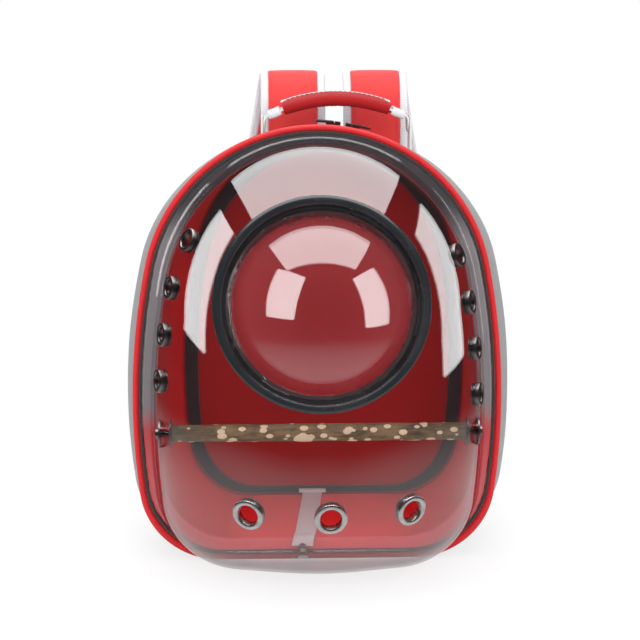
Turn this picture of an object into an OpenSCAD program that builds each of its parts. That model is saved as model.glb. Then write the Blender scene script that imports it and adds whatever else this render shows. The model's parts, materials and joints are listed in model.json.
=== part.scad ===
// Bird travel carrier: a rigid-fronted backpack with a clear shell and a bubble window.
// X runs across it, the shell faces -Y, Z is up. The origin is the middle of the base.

/* [Body] */
// Width across the widest part of the rim
body_w = 345; // [300:1:400]
// Height of the rim from the ground
body_h = 413; // [370:1:460]
// How much smaller the radius of the top arch is than half the width
arch_inset = 11; // [6:1:16]
// Radius of the two lower corners of the rim
corner_r = 75; // [60:1:90]
// Depth of the fabric body from the zip to the back
gusset_depth = 148; // [120:1:170]
// How far the fabric sides bulge outside the rim
gusset_bulge = 18; // [4:1:20]
// How much the fabric body narrows on each side at the back
back_inset = 24; // [16:1:32]
// How far the fabric body leans to the right at the back
lean = 12; // [0:1:14]
// Thickness of the outer fabric of the sides
gusset_t = 3; // [2:0.5:4]
// Thickness of the lining
lining_t = 1.5; // [1:0.25:2.5]

/* [Front shell] */
// Depth of the shell ahead of the rim
shell_depth = 134; // [115:1:150]
// Wall thickness of the shell
shell_t = 2; // [1.5:0.25:3]
// Height of the most forward point of the shell
nose_z = 130; // [115:1:150]
// Distance of the shell wall inside the rim at the sides
shell_side_inset = 17; // [14:1:22]
// Distance of the shell wall inside the rim at the top
shell_top_inset = 14; // [12:1:20]
// Height of the shell wall above the ground at the rim
shell_low = 9; // [8.5:0.5:13]
// How far the shell's underside drops ahead of the rim
shell_belly = 7; // [0:0.5:7]

/* [Rim] */
// Width of the red rim binding seen from the front
rim_w = 8; // [6:0.5:8]
// Depth of the rim binding from front to back
rim_depth = 12; // [9:1:14]
// Radius of the piping along the rim
piping_r = 2.6; // [2:0.1:3]
// Width of the grey binding inside the rim
inner_binding_w = 14; // [10:1:18]
// Thickness of the grey binding inside the rim
inner_binding_t = 2.5; // [2:0.5:4]

/* [Bubble window] */
// Outside diameter of the black ring
ring_od = 189; // [170:1:200]
// Width of the black ring's rounded front
ring_w = 8.6; // [7.5:0.1:10]
// Height of the bubble's centre
bubble_z = 272; // [255:1:285]
// How far the ring sits behind the shell's highest point in it
ring_sink = 4; // [2:0.5:6]
// Gap between the ring's rounded front and the dome
dome_gap = 6.4; // [5.8:0.1:8]
// Height of the dome
dome_h = 50; // [35:1:60]
// Wall thickness of the dome
dome_t = 2; // [1.5:0.25:3]
// Diameter of the three vents
vent_d = 8; // [5:0.5:10]

/* [Eyelets] */
// Outside diameter of a front eyelet
eyelet_od = 29; // [24:0.5:31]
// Hole diameter of a front eyelet
eyelet_id = 19; // [15:0.5:20]
// Outside diameter of a side eyelet
side_eyelet_od = 22; // [20:0.5:29]
// Hole diameter of a side eyelet
side_eyelet_id = 14; // [12:0.5:19]
// Spacing of the front eyelets
front_pitch = 72; // [60:1:74]
// Distance of the middle front eyelet to the right of the shell's middle
front_eyelet_x = 7; // [0:1:8]
// Height of the front eyelets
front_eyelet_z = 84; // [76:1:92]
// Height of the lowest side eyelet on the right
side_eyelet_z = 171; // [170:1:176]
// How much higher the left row of side eyelets sits
side_rise = 15; // [0:1:15]
// Spacing of the side eyelets
side_pitch = 43; // [40:1:45]
// Distance of the side eyelets ahead of the rim
side_eyelet_d = 40; // [36:1:46]

/* [Perch] */
// Diameter of the wooden perch
perch_d = 16.5; // [12:0.5:20]
// Height of the perch
perch_z = 137; // [130:1:146]
// Distance of the perch ahead of the rim
perch_ahead = 42; // [38:1:60]
// Diameter of the perch washers
washer_d = 26; // [20:1:28]
// Diameter of the perch screws
screw_d = 5; // [4:0.5:6]

/* [Harness] */
// Distance of handle and straps to the right of the back panel's middle
harness_x = 11; // [6:1:13]
// Distance between the feet of the handle
handle_span = 146; // [130:1:150]
// Height of the handle above its feet
handle_h = 58; // [57:1:66]
// Width of the handle webbing
handle_w = 26; // [20:1:30]
// Thickness of the handle's padded sleeve
grip_t = 13; // [10:0.5:16]
// Width of a shoulder strap
strap_w = 65; // [55:1:68]
// Thickness of a shoulder strap
strap_t = 9; // [6:0.5:11]
// Gap between the shoulder straps
strap_gap = 18; // [12:1:24]
// Width of the lower webbing
webbing_w = 25; // [20:1:28]

/* [Tether] */
// Width of the tether webbing
tether_w = 20; // [16:1:24]
// Thickness of the tether webbing
tether_t = 1.6; // [1.2:0.1:2]

/* [Hidden] */

// Clearances
touch = 0.3;
run = 0.2;
slot = 0.05;

// Outline of the rim: an arch, two long side arcs and two lower corners
half_w = body_w / 2;
arch_r = half_w - arch_inset;
side_a = 12;
side_r = (half_w - arch_r * cos(side_a)) / (1 - cos(side_a));
arch_z = body_h - arch_r;
side_cx = half_w - side_r;
side_cz = arch_z + (arch_r - side_r) * sin(side_a);
corner_a = asin((side_cz - corner_r) / (side_r - corner_r));
corner_x = side_cx + (side_r - corner_r) * cos(corner_a);
corner_steps = 7;
side_steps = 6;
arch_steps = 15;
floor_steps = 5;

// Y places, front to back. The base panel reaches from the opening almost to the back, and is centred.
zip_half = 5;
panel_margin = 4;
panel_len = zip_half + gusset_depth - panel_margin;
open_y = -panel_len / 2;
zip_front_y = open_y - zip_half;
rim_y = zip_front_y - rim_depth;
gusset_y = open_y + zip_half;
back_y = gusset_y + gusset_depth;
tape_t = 1.4;
teeth_t = 2.2;
teeth_y = 2.4;
zip_inset = 3;
panel_t = 3;
mat_t = 4;
board_t = 3;
wall_t = 2;
pad_t = 14;

function mix(a, b, k) = a + (b - a) * k;
function arc(cx, cz, r, a0, a1, n, first = 0) =
    [for (i = [first:n]) let (a = mix(a0, a1, i / n)) [cx + r * cos(a), cz + r * sin(a)]];
right_half = concat(
    [for (i = [0:floor_steps - 1]) [corner_x * i / floor_steps, 0]],
    arc(corner_x, corner_r, corner_r, -90, -corner_a, corner_steps),
    arc(side_cx, side_cz, side_r, -corner_a, side_a, side_steps, 1),
    arc(0, arch_z, arch_r, side_a, 90, arch_steps, 1)
);
half_n = len(right_half);
unit = concat(
    [for (p = right_half) [p.x / half_w, p.y / body_h]],
    [for (i = [half_n - 2:-1:1]) [-right_half[i].x / half_w, right_half[i].y / body_h]]
);
ring_n = len(unit);

// The outline drawn in by inset at the sides and by top, or inset, at the top, with its floor at low
function loop(inset, low, shift = 0, top = -1) = let (z1 = body_h - (top < 0 ? inset : top))
    [for (p = unit) [p.x * (half_w - inset) + shift, low + p.y * (z1 - low)]];
function at_y(pts, y) = [for (p = pts) [p.x, y, p.y]];

// ---- Lofted solids ----
function flat(list) = [for (a = list) each a];
function quads(n, a, b) = flat([for (j = [0:n - 1])
    [[a + j, a + (j + 1) % n, b + j], [a + (j + 1) % n, b + (j + 1) % n, b + j]]]);
function turned(faces) = [for (f = faces) [f[0], f[2], f[1]]];

function middle(pts) = [for (k = [0:2]) (min([for (p = pts) p[k]]) + max([for (p = pts) p[k]])) / 2];
// Triangles from a middle point to a loop whose first point is number a
function fan(n, a, c) = [for (j = [0:n - 1]) [a + j, a + (j + 1) % n, c]];

// Solid through closed loops that follow each other towards +Y
module loft(loops) {
    n = len(loops[0]);
    m = len(loops);
    sides = flat([for (k = [0:m - 2]) quads(n, k * n, (k + 1) * n)]);
    ends = concat(turned(fan(n, 0, m * n)), fan(n, (m - 1) * n, m * n + 1));
    polyhedron(concat(flat(loops), [middle(loops[0]), middle(loops[m - 1])]), concat(sides, ends), convexity = 6);
}

// Wall between two lofts that are open at both ends
module loft_wall(outer, inner) {
    n = len(outer[0]);
    m = len(outer);
    base = m * n;
    out = flat([for (k = [0:m - 2]) quads(n, k * n, (k + 1) * n)]);
    ins = flat([for (k = [0:m - 2]) quads(n, base + k * n, base + (k + 1) * n)]);
    front = quads(n, base, 0);
    rear = quads(n, (m - 1) * n, base + (m - 1) * n);
    polyhedron(concat(flat(outer), flat(inner)), concat(out, turned(ins), front, rear), convexity = 8);
}

// Flat ring between two outlines, from y0 to y1
module band(outer, inner, y0, y1) {
    translate([0, y1, 0]) rotate([90, 0, 0]) linear_extrude(y1 - y0) difference() {
        polygon(outer);
        polygon(inner);
    }
}
module plate(outline, y0, y1) {
    translate([0, y1, 0]) rotate([90, 0, 0]) linear_extrude(y1 - y0) polygon(outline);
}

// ---- Fabric body ----
gusset_steps = 6;
function bulge_at(s) = gusset_bulge * sin(180 * pow(s, 0.7));
function gusset_inset(s) = zip_inset - bulge_at(s) + (back_inset - zip_inset) * pow(s, 1.6);
// The top falls evenly to the back, and doesn't bulge
function gusset_top(s) = zip_inset + (back_inset - zip_inset) * s;
function gusset_loop(s, inset = 0, low = panel_t) =
    at_y(loop(gusset_inset(s) + inset, low, lean * s, gusset_top(s) + inset), gusset_y + s * gusset_depth);
function wall_loop(inset, low) = loop(gusset_inset(1) + inset, low, lean);
function gusset_loops(inset, low) = [for (k = [0:gusset_steps]) gusset_loop(k / gusset_steps, inset, low)];
lining_low = panel_t + gusset_t + touch;
mat_z = lining_low + lining_t + touch;
mat_margin = 4;
wall_in = gusset_t + lining_t + 2 * touch;

module side_gusset() {
    color("silver") loft_wall(gusset_loops(0, panel_t), gusset_loops(gusset_t, panel_t + gusset_t));
}
module lining() {
    inset = gusset_t + touch;
    color("firebrick") loft_wall(gusset_loops(inset, lining_low),
                                 gusset_loops(inset + lining_t, lining_low + lining_t));
}

// The back: wall seen inside, stiff board, soft pad outside
module back_wall() {
    color("darkred") plate(wall_loop(wall_in, mat_z), back_y - wall_t, back_y);
}
module back_board() {
    color("dimgray") plate(wall_loop(0, panel_t), back_y, back_y + board_t);
}
// Height where the shoulder straps leave their anchor
strap_root_z = body_h - back_inset - 37;
pad_inset = 22;
pad_low = 72;
pad_high = strap_root_z - 40;
module back_pad() {
    y0 = back_y + board_t;
    function crowned(k, rise) = [for (p = unit)
        [p.x * (half_w - back_inset - pad_inset - k) + lean, y0 + rise, mix(pad_low + k, pad_high - k, p.y)]];
    color("gray") loft([crowned(5, 0), crowned(0, pad_t * 0.35), crowned(2, pad_t * 0.65),
                        crowned(9, pad_t * 0.88), crowned(26, pad_t)]);
}
binding_w = 7;
binding_t = 3;
module back_binding() {
    y1 = back_y - wall_t;
    color("slategray") band(wall_loop(wall_in + 3, mat_z + mat_t),
                            wall_loop(wall_in + 3 + binding_w, mat_z + mat_t + binding_w), y1 - binding_t, y1);
}
module rounded_plate(w, y0, y1, r, t) {
    linear_extrude(t) union() {
        translate([-w / 2 + r, y0]) square([w - 2 * r, y1 - y0]);
        translate([-w / 2, y0 + r]) square([w, y1 - y0 - 2 * r]);
        for (x = [-w / 2 + r, w / 2 - r], y = [y0 + r, y1 - r]) translate([x, y]) circle(r, $fn = 48);
    }
}
module base_panel() {
    color("dimgray") rounded_plate(2 * corner_x, -panel_len / 2 + slot, panel_len / 2, 12, panel_t);
}
module floor_mat() {
    // Its sides follow the flat part of the leaning floor
    y1 = back_y - wall_t - binding_t - 1;
    function edge(s, side) = [
        lean * s + side * (corner_x * (half_w - gusset_inset(s) - wall_in) / half_w - mat_margin),
        mix(gusset_y + 1, y1, s)];
    color("firebrick") translate([0, 0, mat_z]) linear_extrude(mat_t)
        polygon(concat([for (s = [0:0.25:1]) edge(s, 1)], [for (s = [1:-0.25:0]) edge(s, -1)]));
}

// ---- Zip ----
module zip_tape(y0, y1) {
    color("darkred") band(loop(zip_inset + teeth_t, zip_inset), loop(zip_inset + teeth_t + tape_t,
        zip_inset + tape_t), y0, y1);
}
module zip_teeth(y0, y1) {
    color("dimgray") difference() {
        band(loop(zip_inset, panel_t), loop(zip_inset + teeth_t - slot, zip_inset), y0, y1);
        translate([-half_w, y0 - 1, -1]) cube([body_w, y1 - y0 + 2, corner_r * 0.6]);
    }
}
module zip_tape_front() { zip_tape(zip_front_y, open_y - slot); }
module zip_tape_rear() { zip_tape(open_y + slot, gusset_y); }
module zip_teeth_front() { zip_teeth(open_y - teeth_y, open_y - slot); }
module zip_teeth_rear() { zip_teeth(open_y + slot, open_y + teeth_y); }

slider_a = 3.2;
// Where the two sliders meet, to the right of the top
zip_meet = 8.4;
function slider_at(side) = zip_meet + side * slider_a;
slider_len = 13;
slider_t = 4.2;
slider_w = 8;
slider_r = arch_r + run - zip_inset + touch;
module on_arch(angle) { translate([0, open_y, arch_z]) rotate([0, angle, 0]) children(); }
// A slider is curved to the arch that it rides on
module zip_slider(side) {
    a0 = slider_at(side) - slider_len / 2 / slider_r * 180 / PI;
    a1 = slider_len / slider_r * 180 / PI;
    color("dimgray") translate([0, open_y + slider_w / 2, arch_z]) rotate([90, 0, 0])
        rotate([0, 0, 90 - a0 - a1]) difference() {
            rotate_extrude(angle = a1, $fn = 180) translate([slider_r, 0]) square([slider_t, slider_w]);
            rotate([0, 0, a1 / 2]) translate([slider_r + slider_t - 1.6, -1.5, -1]) cube([3, 3, slider_w + 2]);
        }
}
tab_len = 16;
tab_t = 1.6;
tab_arm = 1.4;
tab_in = slider_w + 0.8;
tab_out = tab_in + 2 * tab_arm;
tab_hole = slider_len / 2 + 1.1;
tab_r = slider_r + slider_t - tab_t / 2 + 0.1;
module pull_tab(side) {
    color("dimgray") on_arch(slider_at(side)) translate([0, 0, tab_r]) union() {
        rotate([90, 0, 0]) cylinder(h = tab_out, d = tab_t, center = true, $fn = 24);
        difference() {
            translate([side * tab_len / 2, 0, 0]) cube([tab_len, tab_out, tab_t], center = true);
            translate([side * tab_hole / 2, 0, 0]) cube([tab_hole, tab_in, tab_t + 2], center = true);
        }
    }
}

// ---- Rim ----
shell_side = half_w - shell_side_inset;
module rim_binding() {
    color("red") band(loop(piping_r, piping_r), loop(rim_w, rim_w), rim_y, zip_front_y);
}
piping_steps = 8;
module rim_piping() {
    // Half-round bead along the front edge of the rim
    function bead(k) = let (a = 180 * k / piping_steps)
        at_y(loop(piping_r * (1 - cos(a)), piping_r * (1 - cos(a))), rim_y - piping_r * sin(a));
    beads = [for (k = [0:piping_steps]) bead(k)];
    n = ring_n;
    faces = concat(flat([for (k = [0:piping_steps - 1]) turned(quads(n, k * n, (k + 1) * n))]),
                   turned(quads(n, piping_steps * n, 0)));
    color("tomato") polyhedron(flat(beads), faces, convexity = 6);
}
module inner_rim_binding() {
    y0 = rim_y + shell_t + touch;
    color("slategray") band(loop(rim_w + touch, rim_w + touch),
        loop(rim_w + touch + inner_binding_w, rim_w + touch + inner_binding_w * 0.7), y0, y0 + inner_binding_t);
}

// ---- Front shell ----
shell_steps = 13;
shell_top = body_h - shell_top_inset;
w_power = 2.2;
w_taper = 0.08;
low_power = 2.7;
// The underside drops over this depth ahead of the rim
belly_run = 16;
function dome_of(u, p) = pow(max(0, 1 - pow(u, p)), 1 / p);
function shell_w(d, t) = (shell_side - t) * (1 - w_taper * d / shell_depth) * dome_of(d / (shell_depth - t), w_power);
function shell_hi(d, t) = nose_z + (shell_top - t - nose_z) * dome_of(d / (shell_depth - t), 2);
function belly(d) = shell_belly * (1 - pow(1 - min(d / belly_run, 1), 2));
function shell_lo(d, t) = nose_z - (nose_z - shell_low - t + belly(d)) * dome_of(d / (shell_depth - t), low_power);
// The arch turns into an ellipse towards the nose
function shell_loop(d, t) = let (
        k = pow(d / (shell_depth - t), 2), w = shell_w(d, t), lo = shell_lo(d, t), hi = shell_hi(d, t))
    [for (p = unit) let (a = atan2(2 * p.y - 1, p.x))
        [w * mix(p.x, cos(a), k), mix(lo, hi, mix(p.y, 0.5 + 0.5 * sin(a), k))]];
function shell_depths(t) = [for (k = [0:shell_steps - 1]) (shell_depth - t) * sin(90 * k / shell_steps)];
module shell_wall() {
    n = ring_n;
    m = shell_steps;
    outer = [for (d = shell_depths(0)) at_y(shell_loop(d, 0), rim_y - d)];
    inner = [for (d = shell_depths(shell_t)) at_y(shell_loop(d, shell_t), rim_y - d)];
    tips = [[0, rim_y - shell_depth, nose_z], [0, rim_y - shell_depth + shell_t, nose_z]];
    base = m * n;
    out = concat(flat([for (k = [0:m - 2]) quads(n, k * n, (k + 1) * n)]), fan(n, (m - 1) * n, 2 * base));
    ins = concat(flat([for (k = [0:m - 2]) quads(n, base + k * n, base + (k + 1) * n)]),
                 fan(n, base + (m - 1) * n, 2 * base + 1));
    polyhedron(concat(flat(outer), flat(inner), tips), concat(turned(out), ins, turned(quads(n, base, 0))),
               convexity = 8);
}

// Half width of the shell at a depth and a height, and its depth at a place on the front
function half_loop(d, t) = let (l = shell_loop(d, t)) [for (i = [floor_steps:half_n - 1]) [l[i].y, l[i].x]];
function side_x(d, z, t = 0) = lookup(z, half_loop(d, t));
function front_d(x, z) = lookup(x, [for (k = [40:-1:0]) let (d = shell_depth * sin(90 * k / 41))
    [z > shell_lo(d, 0) && z < shell_hi(d, 0) ? side_x(d, z) : -k, d]]);
function unit_vec(v) = v / norm(v);
function side_normal(d, z) = let (e = 6)
    unit_vec([1, (side_x(d + e, z) - side_x(d - e, z)) / (2 * e), -(side_x(d, z + e) - side_x(d, z - e)) / (2 * e)]);
function front_normal(x, z) = let (e = 6, gx = (front_d(abs(x) + e, z) - front_d(abs(x) - e, z)) / (2 * e))
    unit_vec([-sign(x) * gx, -1, -(front_d(abs(x), z + e) - front_d(abs(x), z - e)) / (2 * e)]);

// Puts its children at a place with +Z along a normal
module seat(place, normal) {
    translate(place) rotate([0, acos(normal.z), atan2(normal.y, normal.x)]) children();
}

// The bubble's axis leans up with the shell's own slope
bubble_k = (bubble_z - nose_z) / (shell_top - nose_z);
bubble_d = shell_depth * sqrt(1 - bubble_k * bubble_k);
bubble_tilt = atan2((bubble_z - nose_z) / pow(shell_top - nose_z, 2), bubble_d / pow(shell_depth, 2));
bubble_normal = [0, -cos(bubble_tilt), sin(bubble_tilt)];
bubble_place = [0, rim_y - bubble_d, bubble_z] - ring_sink * bubble_normal;
ring_r = ring_od / 2;
skirt_r = ring_r - 1;
skirt_len = 26;
skirt_t = 3;
module at_bubble() { seat(bubble_place, bubble_normal) rotate(90) children(); }

// Flat pads moulded in the shell under eyelets and perch washers
pad_out = 0.7;
pad_deep = 5;
barrel_t = 0.8;
front_x = [for (k = [-1:1]) front_eyelet_x + k * front_pitch];
function side_z(side) = [for (k = [0:3]) side_eyelet_z + (side < 0 ? side_rise : 0) + k * side_pitch];
module at_front_eyelets() {
    for (x = front_x) {
        nx = x == 0 ? [0, front_normal(0.01, front_eyelet_z).y, front_normal(0.01, front_eyelet_z).z]
                    : front_normal(x, front_eyelet_z);
        seat([x, rim_y - front_d(max(abs(x), 0.01), front_eyelet_z), front_eyelet_z], unit_vec(nx)) children();
    }
}
module at_side_eyelets(side) {
    for (z = side_z(side)) {
        v = side_normal(side_eyelet_d, z);
        seat([side * side_x(side_eyelet_d, z), rim_y - side_eyelet_d, z], [side * v.x, v.y, v.z]) children();
    }
}
module eyelet_pad(od) { translate([0, 0, pad_out - pad_deep]) cylinder(h = pad_deep, d = od + 3, $fn = 64); }
module eyelet_hole(id) {
    translate([0, 0, -pad_deep - 10]) cylinder(h = pad_deep + 30, r = id / 2 + barrel_t + run, $fn = 64);
}

// The perch is screwed to flat round seats, sunk in the sloping wall at the rear and proud of it at the front
perch_y = rim_y - perch_ahead;
spot_r = washer_d / 2 + touch;
seat_r = spot_r + 1.2;
seat_x = side_x(perch_ahead, perch_z);
seat_out = seat_x - 1;
seat_in = side_x(perch_ahead + seat_r, perch_z, shell_t) - touch;
module on_perch_sides() { for (s = [0, 1]) mirror([s, 0, 0]) translate([0, perch_y, perch_z]) children(); }
module along_x(x0, x1, r, fn = 48) {
    translate([x0, 0, 0]) rotate([0, 90, 0]) cylinder(h = x1 - x0, r = r, $fn = fn);
}

module front_shell() {
    color("lightblue", 0.35) difference() {
        union() {
            shell_wall();
            band(loop(rim_w + touch, rim_w + touch), shell_loop(0, shell_t), rim_y, rim_y + shell_t);
            at_front_eyelets() eyelet_pad(eyelet_od);
            at_side_eyelets(1) eyelet_pad(side_eyelet_od);
            at_side_eyelets(-1) eyelet_pad(side_eyelet_od);
            on_perch_sides() along_x(seat_in, seat_out, seat_r);
            on_perch_sides() intersection() {
                along_x(seat_in, seat_out + seat_r, seat_r);
                seat([seat_x, 0, 0], side_normal(perch_ahead, perch_z))
                    translate([0, 0, -2 * seat_r]) cylinder(h = 2 * seat_r, r = 2 * seat_r, $fn = 48);
            }
        }
        at_front_eyelets() eyelet_hole(eyelet_id);
        at_side_eyelets(1) eyelet_hole(side_eyelet_id);
        at_side_eyelets(-1) eyelet_hole(side_eyelet_id);
        on_perch_sides() along_x(seat_out, seat_out + 2 * seat_r, spot_r);
        on_perch_sides() along_x(seat_in - 5, seat_out + 5, screw_d / 2 + run);
        at_bubble() translate([0, 0, -skirt_len - 20]) cylinder(h = skirt_len + 50, r = skirt_r + touch, $fn = 128);
    }
}

// ---- Bubble window, drawn with its axis along +Z and the ring's front at z = 0 ----
ring_in = ring_r - ring_w;
dome_r = ring_in - dome_gap;
frame_r = skirt_r - skirt_t - run;
frame_top = -9;
flange_t = 2;
lug_r = ring_in - 0.6;
flange_r = lug_r - 2.8;
seal_t = 1.5;
lug_a = 16;
lug_gap_a = 22;
lip_t = 2;
seal_z = frame_top - lip_t - touch - flange_t - seal_t;
lug_at = [30, 150, 210, 330];
module sector(r0, r1, a, z0, z1) {
    rotate([0, 0, -a / 2]) translate([0, 0, z0]) rotate_extrude(angle = a, $fn = 96)
        translate([r0, 0]) square([r1 - r0, z1 - z0]);
}
module bubble_ring() {
    bead = ring_w / 2;
    color("black") at_bubble() rotate_extrude($fn = 128) union() {
        translate([ring_r - bead, -bead]) circle(bead, $fn = 48);
        translate([skirt_r - skirt_t, -skirt_len]) square([skirt_t, skirt_len - bead]);
    }
}
// Inner frame with a lip that the dome's lugs turn under
module bubble_frame() {
    color("black") at_bubble() difference() {
        rotate_extrude($fn = 128) union() {
            translate([dome_r - 1, -skirt_len]) square([frame_r - dome_r + 1, skirt_len + seal_z]);
            translate([lug_r + touch, -skirt_len]) square([frame_r - lug_r - touch, skirt_len + frame_top]);
            translate([flange_r + 0.5, frame_top - lip_t]) square([frame_r - flange_r - 0.5, lip_t]);
        }
        for (a = lug_at) rotate(a)
            sector(flange_r, lug_r + touch + run, lug_gap_a, frame_top - lip_t - 1, frame_top + 1);
    }
}
module bubble_seal() {
    color("dimgray") at_bubble() rotate_extrude($fn = 128)
        translate([dome_r - 0.5, seal_z]) square([flange_r - dome_r, seal_t]);
}
flange_z = seal_z + seal_t;
dome_sphere = (dome_r * dome_r + dome_h * dome_h) / (2 * dome_h);
// The vents lie this far inside the dome's edge, and a little clockwise of its top
vent_in = 4.5;
vent_a = [for (k = [-1:1]) 23 * k - 4];
module bubble_dome() {
    color("lightblue", 0.35) at_bubble() difference() {
        union() {
            translate([0, 0, flange_z]) intersection() {
                translate([0, 0, dome_h - dome_sphere]) difference() {
                    sphere(dome_sphere, $fn = 128);
                    sphere(dome_sphere - dome_t, $fn = 128);
                }
                cylinder(h = dome_h + 1, r = dome_r + 1, $fn = 128);
            }
            translate([0, 0, flange_z]) rotate_extrude($fn = 128)
                translate([dome_r - dome_t * 1.3, 0]) square([flange_r - dome_r + dome_t * 1.3, flange_t]);
            for (a = lug_at) rotate(a) sector(dome_r + 1, lug_r, lug_a, flange_z, flange_z + flange_t);
        }
        for (a = vent_a) rotate(a) translate([0, 0, flange_z + dome_h - dome_sphere])
            rotate([-asin((dome_r - vent_in) / dome_sphere), 0, 0])
                cylinder(h = 2 * dome_sphere, d = vent_d, $fn = 32);
    }
}

// ---- Eyelets ----
flange_out = 1.6;
washer_t = 1.2;
module eyelet(od, id) {
    bead = (od - id) / 4;
    translate([0, 0, pad_out]) rotate_extrude($fn = 64) union() {
        intersection() {
            translate([id / 2 + bead, 0]) circle(bead, $fn = 32);
            translate([id / 2, 0]) square([2 * bead, flange_out]);
        }
        translate([id / 2, -pad_deep - washer_t]) square([barrel_t, pad_deep + washer_t + 0.2]);
    }
}
module eyelet_washer(od, id) {
    translate([0, 0, pad_out - pad_deep - washer_t]) difference() {
        cylinder(h = washer_t, d = od - 1, $fn = 64);
        translate([0, 0, -1]) cylinder(h = washer_t + 2, r = id / 2 + barrel_t + slot, $fn = 64);
    }
}
module side_eyelets(side) { color("gainsboro") at_side_eyelets(side) eyelet(side_eyelet_od, side_eyelet_id); }
module front_eyelets() { color("gainsboro") at_front_eyelets() eyelet(eyelet_od, eyelet_id); }
module front_eyelet_washers() { color("gray") at_front_eyelets() eyelet_washer(eyelet_od, eyelet_id); }
module side_eyelets_left() { side_eyelets(-1); }
module side_eyelets_right() { side_eyelets(1); }
module side_eyelet_washers() {
    color("gray") for (s = [-1, 1]) at_side_eyelets(s) eyelet_washer(side_eyelet_od, side_eyelet_id);
}

// ---- Perch ----
perch_washer_t = 1.5;
perch_half = seat_in - perch_washer_t;
screw_grip = 24;
module perch() {
    color("tan") translate([0, perch_y, perch_z]) difference() {
        along_x(-perch_half, perch_half, perch_d / 2, 64);
        along_x(perch_half - screw_grip - 1, perch_half + 1, screw_d / 2 + slot);
        along_x(-perch_half - 1, -perch_half + screw_grip + 1, screw_d / 2 + slot);
    }
}
module perch_washers() {
    color("gainsboro") on_perch_sides() {
        for (x = [perch_half, seat_out]) difference() {
            along_x(x, x + perch_washer_t, washer_d / 2);
            along_x(x - 1, x + perch_washer_t + 1, screw_d / 2 + run);
        }
    }
}
module perch_screws() {
    x0 = seat_out + perch_washer_t;
    color("gainsboro") on_perch_sides() {
        along_x(perch_half - screw_grip, x0 + 1, screw_d / 2);
        difference() {
            along_x(x0, x0 + 3, screw_d, 48);
            translate([x0 + 2, -screw_d * 0.7, -0.6]) cube([2, screw_d * 1.4, 1.2]);
            translate([x0 + 2, -0.6, -screw_d * 0.7]) cube([2, 1.2, screw_d * 1.4]);
        }
    }
}

// ---- Handle ----
hx = lean + harness_x;
handle_back = 26;
handle_y = back_y - handle_back;
handle_s = (handle_y - gusset_y) / gusset_depth;
// Height of the top of the fabric body above a place x, s
function top_z(x, s) = let (l = loop(gusset_inset(s), panel_t, lean * s, gusset_top(s)))
    lookup(abs(x - lean * s), [for (i = [half_n - 1:-1:half_n - arch_steps]) [l[i].x - lean * s, l[i].y]]);
foot_xs = [hx - handle_span / 2, hx + handle_span / 2];
foot_zs = [for (x = foot_xs) top_z(x, handle_s)];
slope_e = 4;
function foot_tilt(x) = [
    atan2(top_z(x, handle_s + 0.02) - top_z(x, handle_s - 0.02), 0.04 * gusset_depth), 0, 0]
    - [0, atan2(top_z(x + slope_e, handle_s) - top_z(x - slope_e, handle_s), 2 * slope_e), 0];
foot_z = (foot_zs[0] + foot_zs[1]) / 2;
module on_foot(k) { translate([foot_xs[k], handle_y, foot_zs[k]]) rotate(foot_tilt(foot_xs[k])) children(); }
anchor_t = 3;
anchor_w = 22;
// Gap under an anchor's middle, which keeps its flat underside off the rounded fabric
anchor_lift = 1.05;
web_t = 2;
grip_half = 52;
grip_rise = 9.5;
grip_r = (grip_half * grip_half + grip_rise * grip_rise) / (2 * grip_rise);
grip_a = asin(grip_half / grip_r);
grip_top = foot_z + handle_h - grip_t / 2;
module ribbon(pts, t) {
    n = len(pts);
    function dir(i) = unit_vec(pts[min(i + 1, n - 1)] - pts[max(i - 1, 0)]);
    function off(i, s) = pts[i] + s * t / 2 * [-dir(i).y, dir(i).x];
    polygon(concat([for (i = [0:n - 1]) off(i, 1)], [for (i = [n - 1:-1:0]) off(i, -1)]));
}
module facing_y(w) { rotate([90, 0, 0]) translate([0, 0, -w / 2]) linear_extrude(w) children(); }
// The webbing is sewn to a fixed leg at each side, and swings on that seam
seam_rise = 32;
seam_z = foot_z + seam_rise;
seam_len = 6;
leg_gap = web_t + run;
swing_x = handle_span / 2 - leg_gap;
grip_end = grip_top - grip_rise;
// Past the grip the webbing turns down over bend_w and bend_h
bend_w = 8;
bend_h = 14;
handle_leg = [
    [grip_half + bend_w, grip_end - bend_h * 2 / 7], [swing_x - bend_w * 3 / 8, grip_end - bend_h * 13 / 28],
    [swing_x - bend_w / 16, grip_end - bend_h * 19 / 28], [swing_x, grip_end - bend_h],
    [swing_x, seam_z - handle_w / 2]];
handle_turn = len(handle_leg) - 1;
// The swinging webbing's centre line, left to right
handle_line = concat(
    [for (i = [handle_turn:-1:0]) [-handle_leg[i].x, handle_leg[i].y]],
    [for (k = [-8:8]) let (a = grip_a * k / 8) [grip_r * sin(a), grip_top - grip_r + grip_r * cos(a)]],
    handle_leg);
module handle_webbing() {
    // Its ends are round about the seam
    color("gainsboro") translate([hx, handle_y, 0]) intersection() {
        facing_y(handle_w) ribbon(handle_line, web_t);
        rotate([90, 0, 90]) linear_extrude(2 * handle_span, center = true) union() {
            translate([0, seam_z]) circle(handle_w / 2, $fn = 64);
            translate([-handle_w / 2, seam_z]) square([handle_w, 2 * handle_h]);
        }
    }
}
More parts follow.
